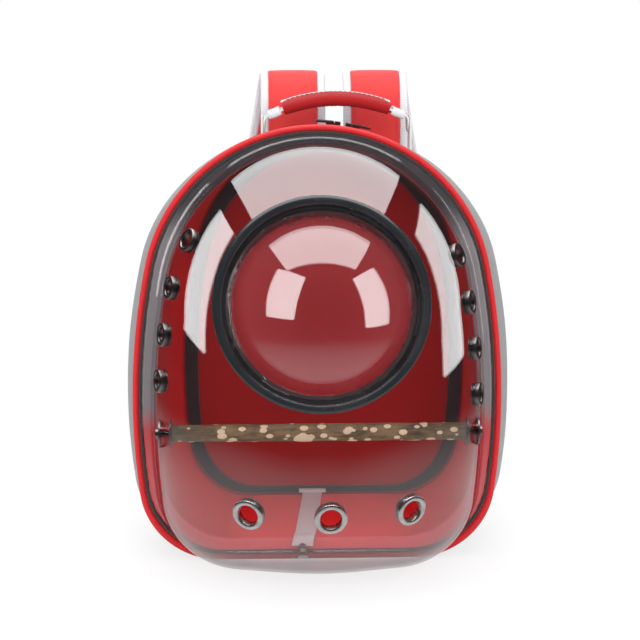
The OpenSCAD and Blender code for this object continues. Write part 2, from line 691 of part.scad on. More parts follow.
// A leg ends on its anchor's slope
module handle_legs() {
    color("gainsboro") for (k = [0, 1]) difference() {
        translate([foot_xs[k] - web_t / 2, handle_y - handle_w / 2, foot_zs[k] - handle_w])
            cube([web_t, handle_w, seam_z + seam_len / 2 - foot_zs[k] + handle_w]);
        on_foot(k) translate([0, 0, anchor_t + anchor_lift + slot - 2 * handle_w]) cube(4 * handle_w, center = true);
    }
}
module handle_grip() {
    color("red") translate([hx, handle_y, grip_top - grip_r]) rotate([90, 0, 0])
        rotate([0, 0, 90 - grip_a]) difference() {
            rotate_extrude(angle = 2 * grip_a, $fn = 240) translate([grip_r, 0]) union() {
                square([grip_t - 6, handle_w + 6], center = true);
                square([grip_t, handle_w], center = true);
                for (x = [-1, 1], y = [-1, 1])
                    translate([x * (grip_t / 2 - 3), y * handle_w / 2]) circle(3, $fn = 24);
            }
            rotate([0, 0, -1]) rotate_extrude(angle = 2 * grip_a + 2, $fn = 240) translate([grip_r, 0])
                square([web_t + 2 * touch, handle_w + 2 * touch], center = true);
        }
}
module handle_collars() {
    collar = [handle_leg[0], handle_leg[1]];
    color("white") translate([hx, handle_y, 0]) for (s = [0, 1]) mirror([s, 0, 0]) difference() {
        facing_y(handle_w + 4) ribbon(collar, web_t + 4);
        facing_y(handle_w + 2 * touch) ribbon([2 * collar[0] - collar[1], 2 * collar[1] - collar[0]], web_t + 1.2);
    }
}
// Stitched feet of the handle, laid on the fabric's slope
module handle_anchors() {
    color("gainsboro") for (k = [0, 1]) on_foot(k)
        translate([0, 0, anchor_t / 2 + anchor_lift]) cube([anchor_w, handle_w + 8, anchor_t], center = true);
}

// ---- Shoulder straps ----
strap_x = (strap_w + strap_gap) / 2;
strap_back = back_y + board_t + strap_t / 2 + touch;
strap_edge_w = 8;
anchor_h = 32;
anchor_out = 2;
anchor_floor = 6;
anchor_wall = 5;
strap_sunk = anchor_h + anchor_out - anchor_floor - touch;
// Places that the middle of the right strap runs through, from its root: x, y and z
strap_places = [
    [0, 0, -strap_sunk], [0, 0, 0], [0, 1, 35], [0, 4, 63], [0, 11, 81], [0, 22, 91], [1, 35, 89], [3, 46, 77], [6, 53, 57],
    [12, 58, 23], [20, 60, -19], [30, 58, -65], [40, 53, -111], [50, 45, -157], [57, 38, -189],
    [57.5, 35.5, -201]];
strap_root = [hx + strap_x, strap_back, strap_root_z];
strap_halves = 2;
function between(a, b, c, d, u) = (2 * b + (c - a) * u + (2 * a - 5 * b + 4 * c - d) * u * u
    + (3 * b - a - 3 * c + d) * u * u * u) / 2;
function smooth(pts, n) = let (m = len(pts)) concat(flat([for (i = [0:m - 2]) [for (k = [0:n - 1])
    between(pts[max(i - 1, 0)], pts[i], pts[i + 1], pts[min(i + 2, m - 1)], k / n)]]), [pts[m - 1]]);
strap_path = [for (p = smooth(strap_places, strap_halves)) strap_root + p];
strap_n = len(strap_path);
taper_from = 22;
function strap_k(i) = i < taper_from ? 1 : 1 - 0.4 * (i - taper_from) / (strap_n - 1 - taper_from);
// Four corners across a strip: from u0 to u1 sideways, with half thicknesses h0 and h1 there
function strip_ring(path, i, u0, u1, h0, h1) = let (
        n = len(path), c = path[i],
        t = unit_vec(path[min(i + 1, n - 1)] - path[max(i - 1, 0)]),
        side = unit_vec([1, 0, 0] - ([1, 0, 0] * t) * t), up = cross(t, side))
    [c + u1 * side + h1 * up, c + u0 * side + h0 * up, c + u0 * side - h0 * up, c + u1 * side - h1 * up];
module strip(path, u0, u1, h0, h1, taper = false) {
    loft([for (i = [len(path) - 1:-1:0]) let (k = taper ? strap_k(i) : 1)
        strip_ring(path, i, u0 * k, u1 * k, h0, h1)]);
}
strap_core = strap_w / 2 - strap_edge_w;
module strap() {
    color("red") strip(strap_path, -strap_core, strap_core, strap_t / 2, strap_t / 2, true);
}
module strap_edges() {
    color("silver") for (s = [-1, 1]) {
        a = s > 0 ? strap_core + 2 * slot : -strap_w / 2;
        thin = strap_t * 0.3;
        strip(strap_path, a, a + strap_edge_w - 2 * slot, s > 0 ? strap_t / 2 : thin, s > 0 ? thin : strap_t / 2, true);
    }
}
module mirrored_at(x) { translate([x, 0, 0]) mirror([1, 0, 0]) translate([-x, 0, 0]) children(); }
module shoulder_strap_right() { strap(); }
module shoulder_strap_left() { mirrored_at(hx) strap(); }
module strap_edges_right() { strap_edges(); }
module strap_edges_left() { mirrored_at(hx) strap_edges(); }
module strap_anchor() {
    w = 2 * (strap_w + anchor_wall + touch) + strap_gap;
    color("gray") translate([hx - w / 2, back_y + board_t, strap_root_z - anchor_h - anchor_out])
        difference() {
            cube([w, strap_t + anchor_wall + 1, anchor_h]);
            translate([anchor_wall, -1, anchor_floor])
                cube([w - 2 * anchor_wall, strap_t + 1 + 2 * touch, anchor_h]);
        }
}

end_p = strap_path[strap_n - 1];
lock_w = webbing_w + 12;
lock_h = 26;
lock_t = 5;
lock_tilt = 12;
lock_gap = 2;
lock_p = [end_p.x, end_p.y - lock_h / 2 * sin(lock_tilt), end_p.z - lock_h / 2 - lock_gap];
foot_h = 14;
foot_t = 7;
lower_foot_x = 88;
lower_foot_z = 34;
foot_p = [hx + lower_foot_x, back_y + board_t + foot_t / 2, lower_foot_z];
web_off = -lock_t / 2 - web_t / 2 - 2 * touch;
module lower_run() {
    function beside(drop) = lock_p + [-drop / 20, web_off - drop * tan(lock_tilt), -drop];
    strip([beside(1), beside(20), foot_p + [0, 0, foot_h], foot_p + [0, 0, touch]], -webbing_w / 2, webbing_w / 2, web_t / 2, web_t / 2);
}
module lower_webbing() {
    color("dimgray") union() {
        lower_run();
        mirrored_at(hx) lower_run();
    }
}
module lower_foot() {
    translate([foot_p.x - webbing_w / 2 - 3, back_y + board_t, foot_p.z - foot_h]) cube([webbing_w + 6, foot_t, foot_h]);
}
module lower_anchors() {
    color("dimgray") union() {
        lower_foot();
        mirrored_at(hx) lower_foot();
    }
}
// Buckle with two slots. Its middle bar is its tilting axis.
module ladder_lock() {
    translate(lock_p) rotate([-lock_tilt, 0, 0]) difference() {
        cube([lock_w, lock_t, lock_h], center = true);
        for (z = [-6.5, 6.5]) translate([0, 0, z]) cube([webbing_w + 2, lock_t + 2, 7], center = true);
    }
}
module ladder_lock_right() { color("black") ladder_lock(); }
module ladder_lock_left() { color("black") mirrored_at(hx) ladder_lock(); }

// ---- Tether ----
tether_x1 = -15;
tether_low = mat_z + mat_t + touch + tether_t / 2;
tether_high = rim_w + touch + inner_binding_w * 0.7 + touch + tether_t / 2;
tether_end_y = rim_y - 16;
// From the front end, over the seam inside the rim, back along the mat
tether_path = [
    [tether_x1, tether_end_y, tether_high], [tether_x1 * 0.85, rim_y + 8, tether_high],
    [tether_x1 * 0.7, gusset_y + 14, tether_low], [0, back_y - wall_t - 7, tether_low]];
module tether_webbing() {
    function cut(c) = [c + [-tether_w / 2, 0, -tether_t / 2], c + [tether_w / 2, 0, -tether_t / 2],
                       c + [tether_w / 2, 0, tether_t / 2], c + [-tether_w / 2, 0, tether_t / 2]];
    color("white") loft([for (c = tether_path) cut(c)]);
}
// Stitched patch that holds the tether at the foot of the back wall
module tether_anchor() {
    color("gainsboro") translate([0, back_y - wall_t - binding_t - 9, tether_low + tether_t / 2 + slot])
        translate([-tether_w / 2 - 4, 0, 0]) cube([tether_w + 8, 9 - touch, 3]);
}
clip_t = 3;
clip_w = 9;
clip_len = 28;
stem_len = 4;
module at_clip() { translate([tether_x1, tether_end_y - touch, tether_high]) rotate([90, 0, 0]) children(); }
module clip_swivel() { color("gray") at_clip() cylinder(h = stem_len, r = 2.4, $fn = 32); }
// Snap hook: collar, frame, and a slot in the frame that the gate closes
clip_z = stem_len + touch;
gate_z0 = clip_z + 9;
gate_z1 = clip_z + 20.6;
gate_x = 3.5;
module clip_body() {
    color("gray") at_clip() difference() {
        union() {
            translate([0, 0, clip_z]) cylinder(h = 5, r = 3.6, $fn = 32);
            translate([-clip_w / 2, -clip_t / 2, clip_z + 4]) cube([clip_w, clip_t, clip_len - 4]);
        }
        translate([-2.3, -clip_t, clip_z + 8]) cube([4.6, 2 * clip_t, 17]);
        translate([2.2, -clip_t, gate_z0]) cube([clip_w, 2 * clip_t, gate_z1 - gate_z0 + touch]);
    }
}
module clip_gate() {
    color("gray") at_clip() translate([gate_x - 0.9, -clip_t / 2, gate_z0 + touch])
        cube([1.8, clip_t, gate_z1 - gate_z0 - touch]);
}

base_panel();
side_gusset();
lining();
back_wall();
back_board();
back_pad();
back_binding();
floor_mat();
zip_tape_rear();
zip_teeth_rear();
zip_tape_front();
zip_teeth_front();
rim_binding();
rim_piping();
inner_rim_binding();
front_shell();
bubble_ring();
bubble_frame();
bubble_seal();
bubble_dome();
front_eyelets();
front_eyelet_washers();
side_eyelets_left();
side_eyelets_right();
side_eyelet_washers();
perch();
perch_washers();
perch_screws();
zip_slider(-1);  // zip_slider_left
zip_slider(1);  // zip_slider_right
pull_tab(-1);  // pull_tab_left
pull_tab(1);  // pull_tab_right
handle_webbing();
handle_grip();
handle_collars();
handle_legs();
handle_anchors();
shoulder_strap_left();
shoulder_strap_right();
strap_edges_left();
strap_edges_right();
strap_anchor();
lower_webbing();
lower_anchors();
ladder_lock_left();
ladder_lock_right();
tether_webbing();
tether_anchor();
clip_swivel();
clip_body();
clip_gate();
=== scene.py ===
"""Looks of a bird travel carrier: clear domed front, red rim, grey fabric body and harness.

Lengths are in millimetres inside the classes, and MeshMaker turns them into metres.
X runs across the carrier, the clear front faces -Y, Z is up.
"""

from __future__ import annotations

import json
import logging
import math
from dataclasses import dataclass
from enum import Enum

import bmesh
import bpy
import mathutils
import numpy as np
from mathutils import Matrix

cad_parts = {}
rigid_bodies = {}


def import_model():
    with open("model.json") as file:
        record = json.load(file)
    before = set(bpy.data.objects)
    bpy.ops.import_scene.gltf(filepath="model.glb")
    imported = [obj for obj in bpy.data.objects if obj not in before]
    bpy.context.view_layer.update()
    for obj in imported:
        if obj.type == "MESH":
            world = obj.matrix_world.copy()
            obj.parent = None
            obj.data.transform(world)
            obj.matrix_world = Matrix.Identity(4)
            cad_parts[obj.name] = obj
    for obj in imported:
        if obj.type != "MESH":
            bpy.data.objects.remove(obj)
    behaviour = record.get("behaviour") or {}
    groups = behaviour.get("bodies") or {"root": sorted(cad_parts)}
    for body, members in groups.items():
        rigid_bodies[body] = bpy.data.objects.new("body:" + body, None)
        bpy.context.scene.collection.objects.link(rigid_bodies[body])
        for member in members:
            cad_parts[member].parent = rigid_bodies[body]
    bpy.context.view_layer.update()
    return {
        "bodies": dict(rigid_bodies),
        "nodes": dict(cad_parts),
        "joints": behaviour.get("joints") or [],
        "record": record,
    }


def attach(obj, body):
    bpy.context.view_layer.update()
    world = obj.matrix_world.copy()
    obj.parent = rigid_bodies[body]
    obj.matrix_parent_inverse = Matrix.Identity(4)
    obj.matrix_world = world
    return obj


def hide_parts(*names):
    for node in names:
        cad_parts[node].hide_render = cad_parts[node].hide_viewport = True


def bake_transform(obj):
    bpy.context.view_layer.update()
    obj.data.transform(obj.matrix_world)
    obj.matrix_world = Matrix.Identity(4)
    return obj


MM = 0.001
LOG = logging.getLogger("bird_carrier")
Array = np.ndarray
Points = tuple[tuple[float, ...], ...]
ACROSS, BACK = np.array([1.0, 0.0, 0.0]), np.array([0.0, 1.0, 0.0])
LOWER_BAND, UPPER_BAND = (0.12, 0.155), (0.30, 0.345)
STITCH_UV = np.array([[0, 0], [0.003, 0], [0.003, 0.001], [0, 0.001]])
WINDOW_MIDDLE, WINDOW_NORMAL = np.array([0, -201.488, 270.817]), np.array([0, -0.955264, 0.295754])
VENT_TURNS = (-27, -4, 19)
LUG_TURNS = (30, 150, 210, 330)


# ---------------------------------------------------------------- shapes
class Outline:
    """The rim's outline: a floor, two round corners, two long side arcs and a top arch."""

    def __init__(self, count: int = 320) -> None:
        """Works out the outline.

        Args:
            count: points round it, spaced evenly along its length.
        """
        self.half_w, self.height = 172.5, 413.0
        arch_r, corner_r, side_a = 161.5, 75.0, math.radians(12)
        side_r = (self.half_w - arch_r * math.cos(side_a)) / (1 - math.cos(side_a))
        arch_z = self.height - arch_r
        side_cx, side_cz = self.half_w - side_r, arch_z + (arch_r - side_r) * math.sin(side_a)
        corner_a = math.asin((side_cz - corner_r) / (side_r - corner_r))
        self.corner_x = side_cx + (side_r - corner_r) * math.cos(corner_a)

        def arc(cx: float, cz: float, r: float, a0: float, a1: float) -> Array:
            a = np.linspace(a0, a1, 400)
            return np.stack([cx + r * np.cos(a), cz + r * np.sin(a)], axis=1)

        floor = np.stack([np.linspace(0, self.corner_x, 200), np.zeros(200)], axis=1)
        right = np.concatenate([
            floor[:-1], arc(self.corner_x, corner_r, corner_r, -math.pi / 2, -corner_a)[:-1],
            arc(side_cx, side_cz, side_r, -corner_a, side_a)[:-1], arc(0, arch_z, arch_r, side_a, math.pi / 2)])
        whole = np.concatenate([right, right[-2:0:-1] * [-1, 1], right[:1]])
        along = distances(whole)
        at = np.linspace(0, along[-1], count, endpoint=False)
        self.unit = points_at(whole, along, at) / [self.half_w, self.height]

    def loop(self, inset: float | Array, low: float | Array, shift: float | Array = 0.0,
             top: float | Array | None = None) -> Array:
        """The outline drawn in by inset at the sides, with its floor at low.

        Args:
            inset: distance inside the rim, a number or one for each loop.
            low: height of the floor.
            shift: move to the right.
            top: how far the top is drawn in; as far as the sides where it is left out.

        Returns:
            Points (x, z), shaped (points, loops, 2).
        """
        top = inset if top is None else top
        inset, low, shift, top = (np.atleast_1d(np.asarray(v, float))[None, :] for v in (inset, low, shift, top))
        x = self.unit[:, :1] * (self.half_w - inset) + shift
        z = low + self.unit[:, 1:] * (self.height - top - low)
        return np.stack(np.broadcast_arrays(x, z), axis=-1)

    def ring(self, profile: Array) -> Array:
        """Carries a profile round the outline.

        Args:
            profile: one row for each of its points: inset, low, y, shift and, where it differs, the top's inset.

        Returns:
            A grid of points, (round the outline, along the profile, 3).
        """
        xz = self.loop(profile[:, 0], profile[:, 1], profile[:, 3], profile[:, 4] if profile.shape[1] > 4 else None)
        return xyz(xz[..., 0], profile[None, :, 2], xz[..., 1])


def unit(v: Array) -> Array:
    """Vectors divided by their lengths, along the last axis."""
    return v / np.maximum(np.linalg.norm(v, axis=-1, keepdims=True), 1e-12)


def xyz(x: float | Array, y: float | Array, z: float | Array) -> Array:
    """Points from their three numbers, each alone or in rows."""
    return np.stack(np.broadcast_arrays(x, y, z), axis=-1).astype(float)


def distances(path: Array) -> Array:
    """How far along a path each of its points lies."""
    return np.concatenate([[0], np.cumsum(np.linalg.norm(np.diff(path, axis=0), axis=1))])


def points_at(path: Array, along: Array, at: Array) -> Array:
    """A path's points, or other values at them, read off at distances along it."""
    return np.stack([np.interp(at, along, column) for column in path.T], axis=1)


def smoothstep(lo: float, hi: float, v: Array) -> Array:
    """Rises smoothly from 0 at lo to 1 at hi."""
    t = np.clip((v - lo) / (hi - lo), 0, 1)
    return t * t * (3 - 2 * t)


def catmull(places: Array, steps: int) -> Array:
    """A smooth curve through places, with steps points for each stretch (Catmull-Rom)."""
    padded = np.concatenate([places[:1], places, places[-1:]])
    a, b, c, d = (padded[i:len(padded) - 3 + i, None, :] for i in range(4))
    u = (np.arange(steps) / steps)[None, :, None]
    curve = (2 * b + (c - a) * u + (2 * a - 5 * b + 4 * c - d) * u**2 + (3 * b - a - 3 * c + d) * u**3) / 2
    return np.concatenate([curve.reshape(-1, places.shape[1]), places[-1:]])


def rounded_box_profile(w: float, h: float, r: float, steps: int = 5) -> Array:
    """A rectangle w by h about the origin, its corners rounded by r, as a closed row of points."""
    a = np.linspace(0, math.pi / 2, steps)
    quarter = np.stack([np.cos(a), np.sin(a)], axis=1) * r
    parts = []
    for turn, (sx, sy) in enumerate([(1, 1), (-1, 1), (-1, -1), (1, -1)]):
        c, s = math.cos(turn * math.pi / 2), math.sin(turn * math.pi / 2)
        parts.append(quarter @ np.array([[c, s], [-s, c]]) + [sx * (w / 2 - r), sy * (h / 2 - r)])
    return np.concatenate(parts)


def circle_profile(r: float, steps: int = 16) -> Array:
    """A circle of radius r as a closed row of points."""
    a = np.arange(steps) / steps * 2 * math.pi
    return np.stack([np.cos(a), np.sin(a)], axis=1) * r


def rectangle(w: float, h: float) -> Array:
    """Points along a rectangle w by h about the origin, 8 for each side."""
    corners = np.array([[-w, -h], [w, -h], [w, h], [-w, h]]) / 2
    return np.concatenate([np.linspace(corners[i], corners[(i + 1) % 4], 8, endpoint=False) for i in range(4)])


def path_frames(path: Array, side_hint: Array, closed: bool = False) -> tuple[Array, Array, Array]:
    """Directions along a path, the side nearest to a hint and the way up, at each of its points."""
    ahead, behind = np.roll(path, -1, axis=0), np.roll(path, 1, axis=0)
    if not closed:
        ahead[-1], behind[0] = path[-1], path[0]
    t = unit(ahead - behind)
    hint = np.broadcast_to(side_hint, path.shape)
    side = unit(hint - (hint * t).sum(-1, keepdims=True) * t)
    return t, side, np.cross(t, side)


def sweep(path: Array, profile: Array, side_hint: Array, closed: bool = False) -> Array:
    """Carries a profile along a path: point = path + a * side + b * up, for each (a, b) of the profile.

    Args:
        path: points, (n, 3).
        profile: (m, 2), or (n, m, 2) where it changes along the path.
        side_hint: the direction that the profile's first number follows.
        closed: whether the path comes back to its start.

    Returns:
        A grid of points, (n, m, 3).
    """
    _, side, up = path_frames(path, side_hint, closed)
    prof = np.broadcast_to(profile, (len(path), *profile.shape[-2:]))
    return path[:, None] + prof[..., :1] * side[:, None] + prof[..., 1:] * up[:, None]


@dataclass
class Patch:
    """A grid of points whose rows and columns may close on themselves."""

    points: Array
    wrap_rows: bool = False
    wrap_cols: bool = False

    def quads(self) -> Array:
        """Four point numbers for each face of the grid."""
        rows, cols = self.points.shape[:2]
        i = np.arange(rows if self.wrap_rows else rows - 1)[:, None]
        j = np.arange(cols if self.wrap_cols else cols - 1)[None, :]
        i2, j2 = (i + 1) % rows, (j + 1) % cols
        return np.stack([i * cols + j, i * cols + j2, i2 * cols + j2, i2 * cols + j], axis=-1).reshape(-1, 4)

    def corner_uv(self) -> Array:
        """Distances along and across the grid in metres, for each corner of each face."""
        p = self.points * MM

        def travelled(axis: int, wrap: bool) -> Array:
            q = np.moveaxis(p, axis, 0)
            q = np.concatenate([q, q[:1]]) if wrap else q
            return np.concatenate([[0], np.cumsum(np.linalg.norm(np.diff(q, axis=0), axis=-1).mean(1))])

        u, v = travelled(0, self.wrap_rows), travelled(1, self.wrap_cols)
        i, j = np.meshgrid(np.arange(len(u) - 1), np.arange(len(v) - 1), indexing="ij")
        corners = [(i, j), (i, j + 1), (i + 1, j + 1), (i + 1, j)]
        return np.stack([np.stack([u[a], v[b]], axis=-1) for a, b in corners], axis=-2).reshape(-1, 4, 2)


def cap(ring: Array, rows: int = 2) -> Patch:
    """A disc that closes a ring of points, drawn in to their middle."""
    k = np.linspace(0, 1, rows)[:, None, None]
    return Patch(ring[None] * (1 - k) + ring.mean(0) * k, wrap_cols=True)


def tube(grid: Array) -> list[Patch]:
    """A swept grid whose profile is closed and whose two ends get caps."""
    return [Patch(grid, wrap_cols=True), cap(grid[0]), cap(grid[-1])]


def lathe(profile: Array, steps: int) -> Array:
    """Turns a profile of (radius, height) about Z, as a grid whose rows go round."""
    a = (np.arange(steps) / steps * 2 * math.pi)[:, None]
    r, z = profile[None, :, 0], profile[None, :, 1]
    return xyz(r * np.cos(a), r * np.sin(a), z)


@dataclass
class Placing:
    """A place and a set of axes: local X, Y and Z go along the columns."""

    origin: Array
    axes: Array

    @staticmethod
    def facing(origin: Array, normal: Array, up: tuple[float, float, float] = (0, 0, 1)) -> Placing:
        """Axes with Z along a normal and Y as near as can be to up."""
        z = unit(np.asarray(normal, float))
        x = unit(np.cross(np.asarray(up, float), z))
        return Placing(np.asarray(origin, float), np.stack([x, np.cross(z, x), z], axis=1))

    def put(self, points: Array) -> Array:
        """Points moved from local to world axes."""
        return points @ self.axes.T + self.origin


def boxes_along(centres: Array, frames: tuple[Array, Array, Array], size: tuple[float, float, float],
                pinch: float = 0.8) -> tuple[Array, Array]:
    """Small blocks with narrowed ends, one at each centre.

    Args:
        centres: (n, 3).
        frames: directions along, across and up at each centre.
        size: length along, across and up.
        pinch: how much narrower a block is at its two ends.

    Returns:
        Points (n * 12, 3) and faces (n * 10, 4).
    """
    base = np.array([[a, b * (pinch if a else 1), c * (pinch if a else 1)]
                     for a in (-1, 0, 1) for b, c in ((-1, -1), (1, -1), (1, 1), (-1, 1))], float) * np.array(size) / 2
    points = centres[:, None]
    for k, axis in enumerate(frames):
        points = points + base[None, :, k:k + 1] * axis[:, None]
    ring = [[r * 4 + k, r * 4 + (k + 1) % 4, r * 4 + 4 + (k + 1) % 4, r * 4 + 4 + k] for r in (0, 1) for k in range(4)]
    faces = np.array(ring + [[3, 2, 1, 0], [8, 9, 10, 11]])
    return points.reshape(-1, 3), (faces[None] + 12 * np.arange(len(centres))[:, None, None]).reshape(-1, 4)


# ---------------------------------------------------------------- meshes
class MeshMaker:
    """Turns grids of points into finished objects at the origin."""

    def from_patches(self, name: str, patches: list[Patch], sharp: float = 40.0) -> bpy.types.Object:
        """Joins patches in one closed mesh.

        Args:
            name: the object's name.
            patches: its grids, whose edges meet.
            sharp: angle in degrees past which an edge is drawn sharp.

        Returns:
            The new object, with a UV map in metres.
        """
        points, faces, uvs, base = [], [], [], 0
        for patch in patches:
            points.append(patch.points.reshape(-1, 3))
            faces.append(patch.quads() + base)
            uvs.append(patch.corner_uv())
            base += len(points[-1])
        return self.from_arrays(name, np.concatenate(points), np.concatenate(faces), np.concatenate(uvs), sharp)

    def from_arrays(self, name: str, points: Array, faces: Array, uv: Array | None = None,
                    sharp: float = 40.0, weld: bool = True) -> bpy.types.Object:
        """Makes an object from arrays of points, quads and corner UVs."""
        mesh = bpy.data.meshes.new(name)
        mesh.vertices.add(len(points))
        mesh.vertices.foreach_set("co", (points * MM).astype(np.float32).ravel())
        mesh.loops.add(faces.size)
        mesh.loops.foreach_set("vertex_index", faces.astype(np.int32).ravel())
        mesh.polygons.add(len(faces))
        mesh.polygons.foreach_set("loop_start", np.arange(0, faces.size, 4, dtype=np.int32))
        if uv is not None:
            mesh.uv_layers.new(name="UVMap").data.foreach_set("uv", uv.astype(np.float32).ravel())
        mesh.update(calc_edges=True)
        mesh.validate()
        if weld:
            bm = bmesh.new()
            bm.from_mesh(mesh)
            bmesh.ops.remove_doubles(bm, verts=bm.verts, dist=2e-6)
            bmesh.ops.recalc_face_normals(bm, faces=bm.faces)
            bm.to_mesh(mesh)
            bm.free()
        self.shade(mesh, sharp)
        obj = bpy.data.objects.new(name, mesh)
        bpy.context.scene.collection.objects.link(obj)
        return obj

    def shade(self, mesh: bpy.types.Mesh, sharp: float) -> None:
        """Smooth shading with edges past an angle kept sharp."""
        mesh.polygons.foreach_set("use_smooth", np.ones(len(mesh.polygons), bool))
        mesh.set_sharp_from_angle(angle=math.radians(sharp))
        mesh.update()

    def apply(self, obj: bpy.types.Object) -> None:
        """Turns an object's modifiers into its mesh."""
        done = bpy.data.meshes.new_from_object(obj.evaluated_get(bpy.context.evaluated_depsgraph_get()))
        old = obj.data
        obj.modifiers.clear()
        obj.data = done
        done.name = old.name

    def cut(self, obj: bpy.types.Object, cutters: list[bpy.types.Object]) -> None:
        """Cuts closed pieces out of a closed piece, and keeps the smooth shading it had."""
        source = bpy.data.objects.new("shading_source", obj.data.copy())
        bpy.context.scene.collection.objects.link(source)
        for cutter in cutters:
            mod = obj.modifiers.new("cut", "BOOLEAN")
            mod.operation, mod.solver, mod.object = "DIFFERENCE", "EXACT", cutter
        shading = obj.modifiers.new("shading", "DATA_TRANSFER")
        shading.object, shading.use_loop_data = source, True
        shading.data_types_loops, shading.loop_mapping = {"CUSTOM_NORMAL"}, "POLYINTERP_NEAREST"
        self.apply(obj)
        for spent in [*cutters, source]:
            bpy.data.objects.remove(spent)

    def cylinder(self, name: str, place: Placing, r: float, z0: float, z1: float, steps: int) -> bpy.types.Object:
        """A plain closed cylinder in a place, for cutting."""
        ends = place.put(lathe(np.array([[r, z0], [r, z1]]), steps))
        return self.from_patches(name, [Patch(ends, wrap_rows=True), cap(ends[:, 0]), cap(ends[:, 1])])

    def rounded_box(self, name: str, centre: Array, size: Array, r: float) -> bpy.types.Object:
        """A box with rounded edges.

        Args:
            name: the object's name.
            centre: its middle.
            size: its three lengths.
            r: radius of its edges.

        Returns:
            The new object.
        """
        sx, sy, sz = size
        levels = np.concatenate([np.linspace(-math.pi / 2, 0, 5), np.linspace(0, math.pi / 2, 5)])
        rows = []
        for k, a in enumerate(levels):
            drawn = r * (1 - math.cos(a))
            z = (sz / 2 - r) * (-1 if k < 5 else 1) + r * math.sin(a)
            loop = rounded_box_profile(sx - 2 * drawn, sy - 2 * drawn, max(r * 1.01 - drawn * 0.9, 0.05 * r), 6)
            rows.append(np.concatenate([loop, np.full((len(loop), 1), z)], axis=1))
        return self.from_patches(name, tube(np.stack(rows) + centre), 50)


# ---------------------------------------------------------------- shader maths
class Sock:
    """A socket on which Python's operators add Math nodes."""

    def __init__(self, graph: Graph, socket: bpy.types.NodeSocket) -> None:
        """Wraps a socket of a graph."""
        self.graph, self.socket = graph, socket

    def math(self, operation: str, *others: float | Sock) -> Sock:
        """One Math node with this socket as its first value."""
        node = self.graph.node("ShaderNodeMath", {"operation": operation}, dict(enumerate([self, *others])))
        return Sock(self.graph, node.outputs[0])

    def __add__(self, other: float | Sock) -> Sock:
        """Sum."""
        return self.math("ADD", other)

    __radd__ = __add__

    def __mul__(self, other: float | Sock) -> Sock:
        """Product."""
        return self.math("MULTIPLY", other)

    __rmul__ = __mul__

    def __sub__(self, other: float | Sock) -> Sock:
        """Difference."""
        return self.math("SUBTRACT", other)

    def __rsub__(self, other: float) -> Sock:
        """A number less this."""
        return (self * -1.0) + other

    def __truediv__(self, other: float) -> Sock:
        """Quotient by a number."""
        return self.math("MULTIPLY", 1.0 / other)

    def __pow__(self, other: float) -> Sock:
        """Power."""
        return self.math("POWER", other)

    def sin(self) -> Sock:
        """Sine."""
        return self.math("SINE")

    def between(self, lo: float, hi: float) -> Sock:
        """Rises smoothly from 0 at lo to 1 at hi."""
        node = self.graph.node("ShaderNodeMapRange", {"interpolation_type": "SMOOTHSTEP", "clamp": True},
                               {"Value": self, "From Min": lo, "From Max": hi, "To Min": 0.0, "To Max": 1.0})
        return Sock(self.graph, node.outputs[0])

    def scaled(self, lo: float, hi: float) -> Sock:
        """Takes 0..1 to lo..hi."""
        return self * (hi - lo) + lo


Value = float | tuple | Sock


